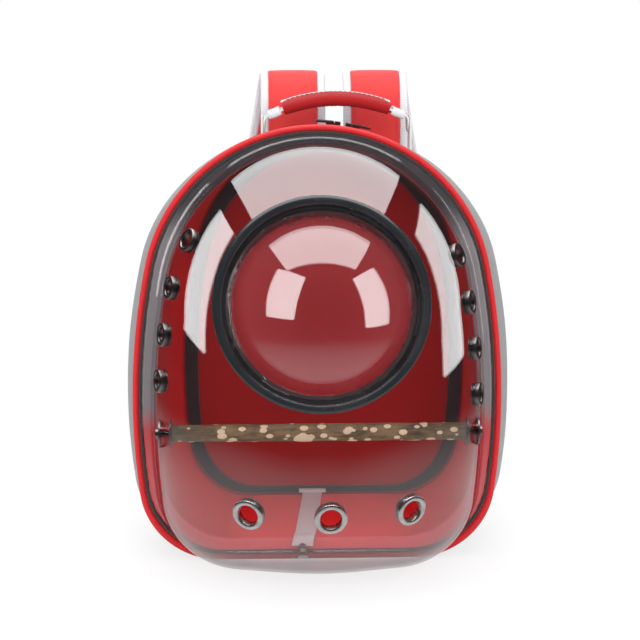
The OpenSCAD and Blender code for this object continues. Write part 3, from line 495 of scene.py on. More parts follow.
class Graph:
    """The node tree of a new material, or of a world."""

    def __init__(self, name: str, world: bpy.types.World | None = None) -> None:
        """Starts empty."""
        self.material = world or bpy.data.materials.new(name)
        self.material.use_nodes = True
        self.tree = self.material.node_tree
        self.tree.nodes.clear()

    def node(self, kind: str, settings: dict | None = None, inputs: dict | None = None) -> bpy.types.Node:
        """Adds a node.

        Args:
            kind: its type.
            settings: its own settings.
            inputs: a value or a link for each socket, by name or number.

        Returns:
            The node.
        """
        made = self.tree.nodes.new(kind)
        for key, value in (settings or {}).items():
            setattr(made, key, value)
        for key, value in (inputs or {}).items():
            if isinstance(value, (Sock, bpy.types.NodeSocket)):
                self.tree.links.new(getattr(value, "socket", value), made.inputs[key])
            elif value is not None:
                made.inputs[key].default_value = value
        return made

    def coords(self, uv: bool) -> Sock:
        """The piece's own UV map in metres, or Object coordinates."""
        return Sock(self, self.node("ShaderNodeTexCoord").outputs["UV" if uv else "Object"])

    def stretched(self, place: Sock, scale: tuple[float, float, float]) -> Sock:
        """Coordinates scaled by a Mapping node."""
        return Sock(self, self.node("ShaderNodeMapping", {}, {"Vector": place, "Scale": scale}).outputs[0])

    def split(self, place: Sock) -> tuple[Sock, Sock, Sock]:
        """The three numbers of a vector."""
        return tuple(Sock(self, out) for out in self.node("ShaderNodeSeparateXYZ", {}, {0: place}).outputs)

    def noise(self, place: Sock, scale: float, detail: float = 3.0, rough: float = 0.5) -> Sock:
        """Cloudy noise from 0 to 1."""
        node = self.node("ShaderNodeTexNoise", {},
                         {"Vector": place, "Scale": scale, "Detail": detail, "Roughness": rough})
        return Sock(self, node.outputs["Fac"])

    def cells(self, place: Sock, scale: float, loose: float) -> Sock:
        """Distance to the nearest of scattered points."""
        node = self.node("ShaderNodeTexVoronoi", {}, {"Vector": place, "Scale": scale, "Randomness": loose})
        return Sock(self, node.outputs["Distance"])

    def mix(self, mask: Value, a: Value, b: Value) -> Sock:
        """Colour a where the mask is 0 and b where it is 1."""
        node = self.node("ShaderNodeMix", {"data_type": "RGBA"}, {0: mask, 6: a, 7: b})
        return Sock(self, node.outputs[2])

    def bump(self, height: Sock, depth: float, after: Sock | None = None) -> Sock:
        """Bumps of a depth in metres."""
        node = self.node("ShaderNodeBump", {}, {"Height": height, "Distance": depth, "Strength": 1.0, "Normal": after})
        return Sock(self, node.outputs[0])

    def rays(self) -> tuple[Sock, Sock]:
        """Whether a ray comes from the camera, and whether it comes off a mirror or through glass."""
        path = self.node("ShaderNodeLightPath").outputs
        mirror = Sock(self, path["Is Glossy Ray"]).math("MAXIMUM", Sock(self, path["Is Transmission Ray"]))
        return Sock(self, path["Is Camera Ray"]), mirror

    def shader(self, kind: str, **inputs: Value) -> bpy.types.NodeSocket:
        """A shader node's output; a key's underscores stand for spaces."""
        named = {key.replace("_", " "): value for key, value in inputs.items()}
        return self.node("ShaderNode" + kind, {}, named).outputs[0]

    def blend(self, share: Value, a: bpy.types.NodeSocket, b: bpy.types.NodeSocket) -> bpy.types.NodeSocket:
        """Shader a where the share is 0 and b where it is 1."""
        return self.node("ShaderNodeMixShader", {}, {0: share, 1: a, 2: b}).outputs[0]

    def finish(self, shader: bpy.types.NodeSocket) -> bpy.types.Material:
        """Joins a shader to the output and hands over the material."""
        self.node("ShaderNodeOutputMaterial", {}, {"Surface": shader})
        return self.material

    def surface(self, **inputs: Value) -> bpy.types.Material:
        """A Principled surface."""
        return self.finish(self.shader("BsdfPrincipled", **inputs))


Colour = tuple[float, float, float]


def rgba(colour: Colour, gain: float = 1.0) -> tuple[float, float, float, float]:
    """A colour with an alpha of 1."""
    return (colour[0] * gain, colour[1] * gain, colour[2] * gain, 1.0)


WHITE = rgba((1.0, 1.0, 1.0))


@dataclass(frozen=True)
class Cloth:
    """Woven polyester: a fine plain weave with soft folds."""

    name: str
    colour: Colour
    pitch: float = 0.0007
    folds: float = 0.0
    rough: float = 0.75
    sheen: float = 0.3
    shade: float = 0.7
    soil: float = 0.1
    lower: Colour | None = None
    upper: Colour | None = None

    def material(self) -> bpy.types.Material:
        """Weave height is sin(u) times sin(v); noise lends slow changes of shade and folds.

        A cloth may turn to a lower colour down through LOWER_BAND, and to an upper one up through UPPER_BAND,
        which are heights in metres. On the grey tape the lower colour is painted red light and the upper one is
        painted shade.
        """
        g = Graph(self.name)
        u, v, _ = g.split(g.coords(True))
        k = 2 * math.pi / self.pitch
        weave = ((u * k).sin() * (v * k).sin()).scaled(0.5, 1.0)
        slow = g.noise(g.coords(False), 9.0, 3.0)
        mask = weave * (1 - self.soil) + slow * self.soil
        colour = g.mix(mask, rgba(self.colour, self.shade), rgba(self.colour))
        # Colours by height: on the grey tape, painted red light at the bottom and painted shade at the top.
        if self.lower:
            colour = g.mix(g.split(g.coords(False))[2].between(*LOWER_BAND), rgba(self.lower), colour)
        if self.upper:
            colour = g.mix(g.split(g.coords(False))[2].between(*UPPER_BAND), colour, rgba(self.upper))
        normal = g.bump(weave, 0.00012)
        if self.folds:
            crease = g.noise(g.stretched(g.coords(False), (1.0, 0.35, 1.0)), 14.0, 2.0, 0.4)
            normal = g.bump(crease, self.folds, normal)
        return g.surface(Base_Color=colour, Roughness=slow.scaled(self.rough - 0.1, self.rough + 0.1), Normal=normal,
                         Sheen_Weight=self.sheen, Specular_IOR_Level=0.3)


@dataclass(frozen=True)
class Webbing:
    """Flat woven tape with ribs across it."""

    name: str
    colour: Colour
    rib: float = 0.0016
    alpha: float = 1.0
    rough: float = 0.6

    def material(self) -> bpy.types.Material:
        """Ribs run across the tape, and warp threads along it."""
        g = Graph(self.name)
        u, v, _ = g.split(g.coords(True))
        ribs = (u * (2 * math.pi / self.rib) + (v * 5200.0).sin() * 0.6).sin().scaled(0.5, 1.0)
        warp = (v * (2 * math.pi / 0.0011)).sin().scaled(0.5, 1.0)
        height = ribs * 0.6 + warp * 0.4
        # The low parts of the ribs and warp threads are darker: painted shade.
        colour = g.mix(height, rgba(self.colour, 0.72), rgba(self.colour))
        slow = g.noise(g.coords(False), 30.0)
        return g.surface(Base_Color=colour, Roughness=slow.scaled(self.rough - 0.1, self.rough + 0.12),
                         Normal=g.bump(height, 0.00025), Alpha=self.alpha, Sheen_Weight=0.2)


@dataclass(frozen=True)
class Moulded:
    """Moulded plastic or rubber with a fine grain."""

    name: str
    colour: Colour
    rough: float = 0.25
    grain: float = 0.00004
    scale: float = 900.0

    def material(self) -> bpy.types.Material:
        """Grain from noise, and worn patches that are a little duller."""
        g = Graph(self.name)
        place = g.coords(False)
        grain, worn = g.noise(place, self.scale, 2.0), g.noise(place, 22.0, 4.0).between(0.35, 0.75)
        return g.surface(Base_Color=g.mix(worn, rgba(self.colour), rgba(self.colour, 1.35)),
                         Roughness=worn.scaled(self.rough, self.rough + 0.12), Normal=g.bump(grain, self.grain))


@dataclass(frozen=True)
class Plated:
    """Plated or brushed metal."""

    name: str
    colour: Colour
    rough: float = 0.12
    scratch: float = 0.00002

    def material(self) -> bpy.types.Material:
        """Fine scratches, and dull spots where the plating is handled."""
        g = Graph(self.name)
        place = g.coords(False)
        fine = g.noise(g.stretched(place, (1.0, 1.0, 0.12)), 1500.0, 2.0)
        dull = g.noise(place, 120.0, 4.0).between(0.4, 0.8)
        return g.surface(Base_Color=g.mix(dull, rgba(self.colour), rgba(self.colour, 0.8)), Metallic=1.0,
                         Roughness=dull.scaled(self.rough, self.rough + 0.15), Normal=g.bump(fine, self.scratch))


@dataclass(frozen=True)
class ClearPlastic:
    """Clear moulded plastic: see-through with a sharp Fresnel gloss, a little smoky at grazing angles."""

    name: str
    tint: Colour
    edge_tint: Colour
    mirror: float = 0.065
    haze: float = 0.03
    haze_and_red_light: Colour = (0.8, 0.78, 0.79)

    def material(self) -> bpy.types.Material:
        """Gloss share = mirror + (1 - mirror) * (1 - cos)^5 over a see-through shader with a thin film of haze."""
        g = Graph(self.name)
        normal = g.bump(g.noise(g.coords(False), 14.0, 1.0), 0.00025)
        graze = Sock(g, g.node("ShaderNodeLayerWeight", {}, {"Blend": 0.5, "Normal": normal}).outputs["Facing"])
        thin, thick = (g.shader("BsdfTransparent", Color=rgba(tint)) for tint in (self.tint, self.edge_tint))
        clear = g.blend(graze ** 2.0, thin, thick)
        # Colour of the haze film; the dome's pink one is painted red light.
        haze_and_red_light = g.shader("BsdfDiffuse", Color=rgba(self.haze_and_red_light))
        film = g.blend(graze.scaled(self.haze * 0.6, self.haze * 2.2), clear, haze_and_red_light)
        gloss = g.shader("BsdfGlossy", Color=WHITE, Roughness=0.03, Normal=normal)
        return g.finish(g.blend((graze ** 5.0).scaled(self.mirror, 1.0), film, gloss))


@dataclass(frozen=True)
class Bark:
    """Natural branch: grey-brown bark with pale oval knots."""

    name: str
    dark: Colour = (0.072, 0.044, 0.022)
    light: Colour = (0.24, 0.155, 0.08)
    knot: Colour = (0.80, 0.60, 0.40)

    def material(self) -> bpy.types.Material:
        """Streaks along the branch, and pale ovals where the mesh's attribute says that a knot is."""
        g = Graph(self.name)
        place = g.coords(False)
        streak = g.noise(g.stretched(place, (0.25, 1.0, 1.0)), 260.0, 5.0, 0.65)
        blotch = g.noise(place, 45.0, 4.0)
        bark = g.mix((streak * 0.6 + blotch * 0.4).between(0.35, 0.65), rgba(self.dark), rgba(self.light))
        knot = Sock(g, g.node("ShaderNodeAttribute", {"attribute_name": "knot"}).outputs["Fac"])
        pale = (knot + g.noise(place, 900.0, 2.0) * 0.3).between(0.35, 0.6)
        colour = g.mix(pale, bark, g.mix(streak, rgba(self.knot, 0.75), rgba(self.knot)))
        height = streak * 0.7 + pale * 0.5
        return g.surface(Base_Color=colour, Roughness=pale.scaled(0.8, 0.55), Normal=g.bump(height, 0.0006))


@dataclass(frozen=True)
class AirMesh:
    """Open knitted mesh over foam, in a honeycomb of small holes."""

    name: str
    colour: Colour
    pitch: float = 0.0026

    def material(self) -> bpy.types.Material:
        """Cells of a near-even Voronoi pattern; their middles are deep, drawn dark with painted shade, and the threads
        between are drawn light with painted light.
        """
        g = Graph(self.name)
        near = g.cells(g.coords(True), 1 / self.pitch, 0.25)
        hole = 1 - near.between(0.18, 0.42)
        # Painted shade in the cell middles and painted light on the threads.
        colour = g.mix(hole, rgba(self.colour, 1.6), rgba(self.colour, 0.35))
        return g.surface(Base_Color=colour, Roughness=hole.scaled(0.75, 0.95), Normal=g.bump(1 - hole, 0.0006),
                         Sheen_Weight=0.2)


class Look(Enum):
    """Every finish on the carrier."""

    RED_FABRIC = Cloth("red_fabric", (0.80, 0.042, 0.042), shade=0.8, sheen=0.08)
    GRIP_RED = Cloth("grip_red", (0.38, 0.004, 0.006), shade=0.8, sheen=0.02)
    RED_PIPING = Cloth("red_piping", (0.58, 0.014, 0.018), pitch=0.0009, rough=0.5, shade=0.85, sheen=0.03)
    RED_BINDING = Cloth("red_binding", (0.36, 0.006, 0.008), pitch=0.0008, rough=0.5, shade=0.85, sheen=0.03)
    RED_LINING = Cloth("red_lining", (0.90, 0.010, 0.014), folds=0.004, rough=0.55, shade=0.9, sheen=0.05)
    RED_FLOOR = Cloth("red_floor", (0.92, 0.010, 0.014), folds=0.003, rough=0.5, shade=0.9, sheen=0.05)
    # The red lining, darkened for the back wall: painted shade for the little light that reaches it.
    DARK_RED = Cloth("dark_red_wall", (0.42, 0.003, 0.005), folds=0.003, rough=0.5, shade=0.85, sheen=0.05)
    GREY_FABRIC = Cloth("silver_fabric", (0.27, 0.27, 0.28), folds=0.011, rough=0.5, sheen=0.2, shade=0.8)
    # The tape is grey all round: its red lower colour is painted red light and its near-black upper colour is painted
    # shade.
    GREY_TAPE = Cloth("grey_tape", (0.36, 0.35, 0.36), pitch=0.0005, rough=0.45, shade=0.85, lower=(0.72, 0.05, 0.06),
                      upper=(0.075, 0.075, 0.08))
    # Near-black tape: dark on the rim's inner line and the cushion's edge; on the back wall's grey binding its
    # near-black is painted shade.
    WALL_TAPE = Cloth("wall_tape", (0.034, 0.034, 0.038), pitch=0.0011, rough=0.5, shade=0.6)
    PALE_EDGE = Webbing("pale_edge", (0.72, 0.71, 0.75))
    PALE_WEBBING = Webbing("pale_webbing", (0.80, 0.79, 0.78))
    TETHER = Webbing("tether_webbing", (0.82, 0.78, 0.80), alpha=0.96)
    BLACK_WEBBING = Webbing("black_webbing", (0.035, 0.035, 0.038))
    ZIP_TAPE = Cloth("zip_tape", (0.18, 0.010, 0.012), pitch=0.0006)
    ZIP_METAL = Plated("zip_metal", (0.16, 0.16, 0.17), rough=0.3)
    CHROME = Plated("chrome", (0.58, 0.575, 0.57), rough=0.26)
    # CHROME drawn darker for the side eyelets, their washers and the perch's washers and screws: painted shade.
    DARK_CHROME = Plated("dark_chrome", (0.24, 0.215, 0.215), rough=0.3)
    STEEL = Plated("steel", (0.50, 0.50, 0.52), rough=0.3)
    BLACK_PLASTIC = Moulded("black_plastic", (0.012, 0.014, 0.016), rough=0.22)
    BLACK_RUBBER = Moulded("black_rubber", (0.02, 0.02, 0.02), rough=0.7, grain=0.0001)
    BOARD = Moulded("moulded_board", (0.05, 0.05, 0.055), rough=0.5, grain=0.0002, scale=300.0)
    SHELL = ClearPlastic("clear_shell", (0.955, 0.945, 0.95), (0.62, 0.62, 0.63), haze=0.0)
    # The dome's pink haze colour is painted red light from the red inside; the dome itself is clear.
    DOME = ClearPlastic("clear_dome", (0.965, 0.955, 0.96), (0.75, 0.72, 0.73), haze=0.035, haze_and_red_light=(0.95, 0.26, 0.29))
    # Dark red vent lips: painted shade, standing for the shaded hole walls of a clear dome.
    VENT_LIP = Moulded("vent_lip", (0.07, 0.008, 0.010), rough=0.6)
    BARK = Bark("bark")
    AIR_MESH = AirMesh("air_mesh", (0.035, 0.035, 0.04))
    RED_THREAD = Webbing("red_thread", (0.62, 0.03, 0.035), rib=0.0006)
    GREY_THREAD = Webbing("grey_thread", (0.55, 0.55, 0.58), rib=0.0006)


class Dresser:
    """Gives pieces their finish and their body."""

    def __init__(self, frame: dict) -> None:
        """Keeps the loaded frame."""
        self.frame = frame
        self.made: dict[Look, bpy.types.Material] = {}

    def material(self, look: Look) -> bpy.types.Material:
        """The material of a finish, made once."""
        if look not in self.made:
            self.made[look] = look.value.material()
        return self.made[look]

    def dress(self, obj: bpy.types.Object, look: Look, body: str, slot: str, *nodes: str) -> bpy.types.Object:
        """Finishes a new piece.

        Args:
            obj: the piece.
            look: its finish.
            body: the body it rides on.
            slot: not used.
            nodes: the CAD nodes it stands for.

        Returns:
            The piece.
        """
        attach(obj, body)
        return self._finish(obj, look, nodes)

    def bend(self, obj: bpy.types.Object, look: Look, bodies: tuple[str, str], slot: str, span: Array,
             *nodes: str) -> bpy.types.Object:
        """Finishes a new piece of fabric that crosses a joint.

        Args:
            obj: the piece.
            look: its finish.
            bodies: not used.
            slot: not used.
            span: not used.
            nodes: the CAD nodes it stands for.

        Returns:
            The piece.
        """
        self._finish(obj, look, nodes)
        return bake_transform(obj)

    def _finish(self, obj: bpy.types.Object, look: Look, nodes: tuple[str, ...]) -> bpy.types.Object:
        """Material and replaced nodes of a piece."""
        obj.data.materials.clear()
        obj.data.materials.append(self.material(look))
        if nodes:
            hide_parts(*nodes)
        LOG.info("%s: %d faces", obj.name, len(obj.data.polygons))
        return obj

    def keep(self, look: Look, *nodes: str) -> None:
        """Gives CAD nodes whose shape is right a finish."""
        for name in nodes:
            node = self.frame["nodes"][name]
            node.data.materials.clear()
            node.data.materials.append(self.material(look))
            LOG.info("%s kept from the frame", name)


@dataclass
class Workshop:
    """What every sub-assembly needs: the mesh maker, the dresser and the rim's outline."""

    maker: MeshMaker
    dresser: Dresser
    outline: Outline

    def piece(self, name: str, patches: list[Patch], look: Look, body: str, slot: str, *nodes: str,
              sharp: float = 50.0) -> bpy.types.Object:
        """Makes a piece from patches and dresses it.

        Args:
            name: the object's name.
            patches: its grids.
            look: its finish.
            body: the body it rides on.
            slot: its material slot.
            nodes: the CAD nodes it stands for.
            sharp: angle in degrees past which an edge is drawn sharp.

        Returns:
            The piece.
        """
        return self.dresser.dress(self.maker.from_patches(name, patches, sharp), look, body, slot, *nodes)

    def around(self, name: str, profile: Array, look: Look, body: str, slot: str, *nodes: str,
               sharp: float = 50.0) -> bpy.types.Object:
        """Carries a closed profile round the outline and dresses it, as piece does."""
        return self.piece(name, [Patch(self.outline.ring(profile), True, True)], look, body, slot, *nodes, sharp=sharp)

    def stitches(self, name: str, path: Array, up: Array, look: Look, body: str, slot: str,
                 closed: bool = False, length: float = 3.2, gap: float = 1.4, width: float = 0.7) -> bpy.types.Object:
        """A row of stitches along a path.

        Args:
            name: the object's name.
            path: points that it follows, (n, 3).
            up: the direction that the fabric faces, one or one for each point.
            look: the thread's finish.
            body: the body it rides on.
            slot: its material slot.
            closed: whether the path closes.
            length: length of a stitch.
            gap: space between two stitches.
            width: thickness of the thread.

        Returns:
            The row of stitches.
        """
        full = np.concatenate([path, path[:1]]) if closed else path
        along = distances(full)
        count = max(2, int(along[-1] / (length + gap)))
        at = (np.arange(count) + 0.5) / count * along[-1]
        step = (length + gap) / 2
        ahead, behind = (points_at(full, along, np.clip(at + move, 0, along[-1])) for move in (step, -step))
        t = unit(ahead - behind)
        ups = np.broadcast_to(up, path.shape)
        ups = points_at(np.concatenate([ups, ups[:1]]) if closed else ups, along, at)
        side = unit(np.cross(ups, t))
        centres, frames = points_at(full, along, at), (t, side, np.cross(t, side))
        points, faces = boxes_along(centres, frames, (length, width, width), 0.55)
        obj = self.maker.from_arrays(name, points, faces, np.tile(STITCH_UV, (len(faces), 1, 1)), 60, weld=False)
        return self.dresser.dress(obj, look, body, slot)


# ---------------------------------------------------------------- clear front
@dataclass
class ShellForm:
    """The clear front's surface, worked out from its depth ahead of the rim."""

    outline: Outline
    rim_y: float = -91.5
    depth: float = 134.0
    nose_z: float = 130.0
    side: float = 155.5
    top: float = 399.0
    low: float = 9.0
    belly: float = 7.0
    belly_run: float = 16.0

    def sheet(self, d: Array, t: float) -> Array:
        """Loops of the wall at depths d, for a surface t inside the outer one.

        Half width = (side - t)(1 - 0.08 d / depth)(1 - u^2.2)^(1/2.2), with u = d / (depth - t). The top falls as
        an ellipse and the bottom as a power of 2.7, from a belly that drops just ahead of the rim. The arch blends
        into an ellipse by u squared.

        Args:
            d: depths ahead of the rim.
            t: distance inside the outer surface.

        Returns:
            A grid of points, (round the outline, depths, 3).
        """
        u = np.clip(d / (self.depth - t), 0, 1)
        w = (self.side - t) * (1 - 0.08 * d / self.depth) * (1 - u**2.2) ** (1 / 2.2)
        hi = self.nose_z + (self.top - t - self.nose_z) * np.sqrt(1 - u**2)
        drop = self.belly * (1 - (1 - np.clip(d / self.belly_run, 0, 1)) ** 2)
        lo = self.nose_z - (self.nose_z - self.low - t + drop) * (1 - u**2.7) ** (1 / 2.7)
        k = (u**2)[None, :]
        ux, uz = self.outline.unit[:, :1], self.outline.unit[:, 1:]
        a = np.arctan2(2 * uz - 1, ux)
        x = w * (ux * (1 - k) + np.cos(a) * k)
        z = lo + (hi - lo) * (uz * (1 - k) + (0.5 + 0.5 * np.sin(a)) * k)
        return xyz(x, self.rim_y - d, z)

    def half_width(self, d: float, z: float, t: float = 0.0) -> float:
        """Distance of the wall from the middle plane, at a depth and a height."""
        p = self.sheet(np.array([d]), t)[:, 0]
        p = p[p[:, 0] > 0]
        p = p[np.argsort(p[:, 2])]
        return float(np.interp(z, p[:, 2], p[:, 0]))

    def depth_at(self, x: float, z: float) -> float:
        """Depth of the wall ahead of the rim, at a place seen from the front."""
        d = self.depth * np.sin(np.linspace(math.pi / 2 - 0.02, 0, 160))
        grid = self.sheet(d, 0.0)
        inside = (grid[..., 2].min(0) < z) & (grid[..., 2].max(0) > z)
        widths = np.array([self.half_width(v, z) if ok else -1.0 for v, ok in zip(d, inside)])
        return float(np.interp(x, widths, d))

    def side_place(self, side: int, d: float, z: float) -> Placing:
        """A place on a side wall, facing out."""
        e = 6.0
        n = np.array([1, (self.half_width(d + e, z) - self.half_width(d - e, z)) / (2 * e),
                      -(self.half_width(d, z + e) - self.half_width(d, z - e)) / (2 * e)])
        return Placing.facing(np.array([side * self.half_width(d, z), self.rim_y - d, z]), n * [side, 1, 1])

    def front_place(self, x: float, z: float) -> Placing:
        """A place on the front, facing out."""
        e, ax = 6.0, abs(x)
        gx = (self.depth_at(ax + e, z) - self.depth_at(abs(ax - e), z)) / (2 * e) if ax > e else 0.0
        gz = (self.depth_at(ax, z + e) - self.depth_at(ax, z - e)) / (2 * e)
        return Placing.facing(np.array([x, self.rim_y - self.depth_at(ax, z), z]),
                              np.array([-math.copysign(1, x) * gx, -1, -gz]))


@dataclass(frozen=True)
class Eyelet:
    """An eyelet's outer radius and the radius of its hole."""

    outer: float
    hole: float
    metal: Look = Look.CHROME


@dataclass
class FrontShell:
    """The clear front with its eyelets, its perch and the perch's fittings."""

    shop: Workshop
    form: ShellForm
    window: Placing
    wall: float = 2.0
    front_eyelet: Eyelet = Eyelet(14.5, 9.5)
    # The side eyelets' darker metal is painted shade.
    side_eyelet: Eyelet = Eyelet(11.0, 7.0, metal=Look.DARK_CHROME)
    pad_out: float = 0.7
    pad_in: float = -4.3
    bend_d: float = 7.0
    perch_z: float = 137.0
    perch_ahead: float = 42.0
    perch_r: float = 8.25
    perch_half: float = 134.45
    seat_out: float = 144.385
    seat_in: float = 135.95
    knots: int = 84
    window_r: float = 93.8
    screw_r: float = 2.7
    boss_r: float = 10.6
    front_xs: tuple[float, ...] = (-65.0, 7.0, 79.0)
    front_z: float = 84.0
    side_lows: Points = ((-1, 186.0), (1, 171.0))
    side_pitch: float = 43.0
    side_ahead: float = 40.0

    def build(self) -> None:
        """Builds and dresses every piece of the front."""
        fronts = [self.form.front_place(x, self.front_z) for x in self.front_xs]
        sides = {s: [self.form.side_place(s, self.side_ahead, low + self.side_pitch * k) for k in range(4)]
                 for s, low in self.side_lows}
        self.shell([(place, self.front_eyelet) for place in fronts]
                   + [(place, self.side_eyelet) for row in sides.values() for place in row])
        self.eyelets("eyelets_front", fronts, self.front_eyelet, "front_eyelets")
        self.eyelets("eyelets_side_left", sides[-1], self.side_eyelet, "side_eyelets_left")
        self.eyelets("eyelets_side_right", sides[1], self.side_eyelet, "side_eyelets_right")
        self.perch()
        self.shop.dresser.keep(Look.STEEL, "front_eyelet_washers")
        self.shop.dresser.keep(Look.DARK_CHROME, "side_eyelet_washers", "perch_washers", "perch_screws")

    def bend(self, t: float, flange_y: float) -> Array:
        """Rows that turn from the wall into the flange: a quarter of an ellipse, as wide as the flange.

        Args:
            t: distance of the surface inside the outer one.
            flange_y: the flange's place along Y.

        Returns:
            A grid of points, (round the outline, from the wall to the rim, 3).
        """
        phi = np.linspace(0, math.pi / 2, 11)
        out = 1 - np.cos(phi)
        edge = self.shop.outline.ring(np.array([[8.6, 8.6, flange_y, 0.0]]))
        back = 1 - np.sin(phi)
        rows = self.form.sheet(self.bend_d * back, t) + (edge - self.form.sheet(np.zeros(1), t)) * out[:, None]
        rows[..., 1] = flange_y - (self.bend_d + flange_y - self.form.rim_y) * back
        return rows

    def shell(self, fittings: list[tuple[Placing, Eyelet]]) -> None:
        """Double wall that bends softly into a flange, with real holes and clear bosses behind its fittings.

        Args:
            fittings: the eyelets and where they sit.
        """
        form, t, y = self.form, self.wall, self.form.rim_y

        def wall(inside: float) -> Array:
            """Rows from the nose to the bend."""
            depth = form.depth - inside
            return form.sheet(depth * np.sin(np.linspace(math.pi / 2, math.asin(self.bend_d / depth), 62)), inside)

        outer, inner = wall(0.0), wall(t)[:, ::-1]
        rows = [outer[:, :-1], self.bend(0.0, y), self.bend(t, y + t)[:, ::-1], inner[:, 1:]]
        obj = self.shop.maker.from_patches("clear_front", [Patch(np.concatenate(rows, axis=1), wrap_rows=True)], 35)
        cutters = [self.shop.maker.cylinder("hole", place, size.hole + 1, -20, 20, 48) for place, size in fittings]
        cutters.append(self.shop.maker.cylinder("window", self.window, self.window_r, -46, 30, 160))
        bosses = [(place, size.outer - 0.3, size.hole + 1, self.pad_in, -t + 0.3) for place, size in fittings]
        for side in (-1, 1):
            seat = Placing.facing(np.array([side * self.seat_in, y - self.perch_ahead, self.perch_z]),
                                  np.array([side, 0.0, 0.0]))
            cutters.append(self.shop.maker.cylinder("screw_hole", seat, self.screw_r, -15, 20, 24))
            bosses.append((seat, self.boss_r, self.screw_r + 0.1, 0.0, self.seat_out - self.seat_in - 0.02))
        self.shop.maker.cut(obj, cutters)
        self.shop.dresser.dress(obj, Look.SHELL, "door", "clear_shell", "front_shell")
        rings = []
        for place, r1, r0, z0, z1 in bosses:
            profile = np.array([[r0, z0], [r1 - 0.6, z0], [r1, z0 + 0.6], [r1, z1 - 0.3], [r1 - 0.3, z1], [r0, z1]])
            rings.append(Patch(place.put(lathe(profile, 56)), True, True))
        self.shop.piece("clear_bosses", rings, Look.SHELL, "door", "clear_shell", sharp=40)

    def eyelets(self, name: str, places: list[Placing], size: Eyelet, node: str) -> None:
        """Rolled metal eyelets: a half-round lip and a barrel.

        Args:
            name: the object's name.
            places: where they sit.
            size: their size.
            node: the CAD node they stand for.
        """
        a = np.linspace(0, math.pi, 13)
        mid, half, hole = (size.outer + size.hole) / 2, (size.outer - size.hole) / 2, size.hole
        lip = np.stack([mid + half * np.cos(a), self.pad_out + 1.5 * np.sin(a)], axis=1)
        lip = np.concatenate([[[size.outer, -2.0]], lip])
        barrel = np.array([[hole, -5.2], [hole + 0.3, -5.5], [hole + 0.8, -5.5], [hole + 0.8, -1.0]])
        grid = lathe(np.concatenate([lip, barrel]), 72)
        patches = [Patch(place.put(grid), wrap_rows=True, wrap_cols=True) for place in places]
        self.shop.piece(name, patches, size.metal, "door", "eyelet_metal", node)

    def perch(self) -> None:
        """A natural branch: its radius wanders, and pale knots stand out of it.

        Radius = perch_r (1 + sines) + knots; a knot is a rounded hump, long along the branch. The attribute knot
        carries how pale the bark is.
        """
        rng = np.random.default_rng(7)
        x = np.linspace(-self.perch_half, self.perch_half, 520)[:, None]
        a = (np.arange(72) / 72 * 2 * math.pi)[None, :]
        r = self.perch_r * (0.965 + 0.018 * np.sin(x / 31 + 1) + 0.014 * np.sin(x / 11.3 + 2 * a)
                            + 0.010 * np.sin(3 * a - x / 7.1))
        pale = np.zeros_like(r)
        spans = ((-128, 128), (0, 2 * math.pi), (1.1, 3.3))
        spots = np.stack([rng.uniform(lo, hi, self.knots) for lo, hi in spans], axis=1)
        large = [[-15.0, 1.2 * math.pi, 6.5], [30.0, 1.35 * math.pi, 3.6], [88.0, 1.45 * math.pi, 3.8]]
        for sx, sa, size in np.concatenate([spots, large]):
            turn = (a - sa + math.pi) % (2 * math.pi) - math.pi
            far = np.hypot((x - sx) / 1.45, turn * self.perch_r) / size
            hump = np.clip(1 - far**2, 0, 1)
            r = r + 0.45 * np.sqrt(hump) * min(size / 3, 1.0)
            pale = np.maximum(pale, smoothstep(0.0, 0.35, hump))
        r = np.minimum(r, self.perch_r + 0.35)
        y, z = self.form.rim_y - self.perch_ahead, self.perch_z
        grid = xyz(x, y + r * np.cos(a), z + r * np.sin(a))
        obj = self.shop.maker.from_arrays("perch_branch", *self._open_tube(grid), None, 60, weld=False)
        knot = obj.data.attributes.new("knot", "FLOAT", "POINT")
        knot.data.foreach_set("value", np.concatenate([pale.ravel(), [0.0, 0.0]]).astype(np.float32))
        self.shop.dresser.dress(obj, Look.BARK, "door", "perch_wood", "perch")

    def _open_tube(self, grid: Array) -> tuple[Array, Array]:
        """Points and faces of a tube whose ends close on a middle point each."""
        rows, cols = grid.shape[:2]
        quads = Patch(grid, wrap_cols=True).quads()[:, ::-1]
        j = np.arange(0, cols, 2)
        first, last = rows * cols, rows * cols + 1
        base = (rows - 1) * cols
        start = np.stack([np.full_like(j, first), j, j + 1, (j + 2) % cols], axis=1)
        end = np.stack([np.full_like(j, last), base + (j + 2) % cols, base + j + 1, base + j], axis=1)
        return (np.concatenate([grid.reshape(-1, 3), [grid[0].mean(0)], [grid[-1].mean(0)]]),
                np.concatenate([quads, start, end]))


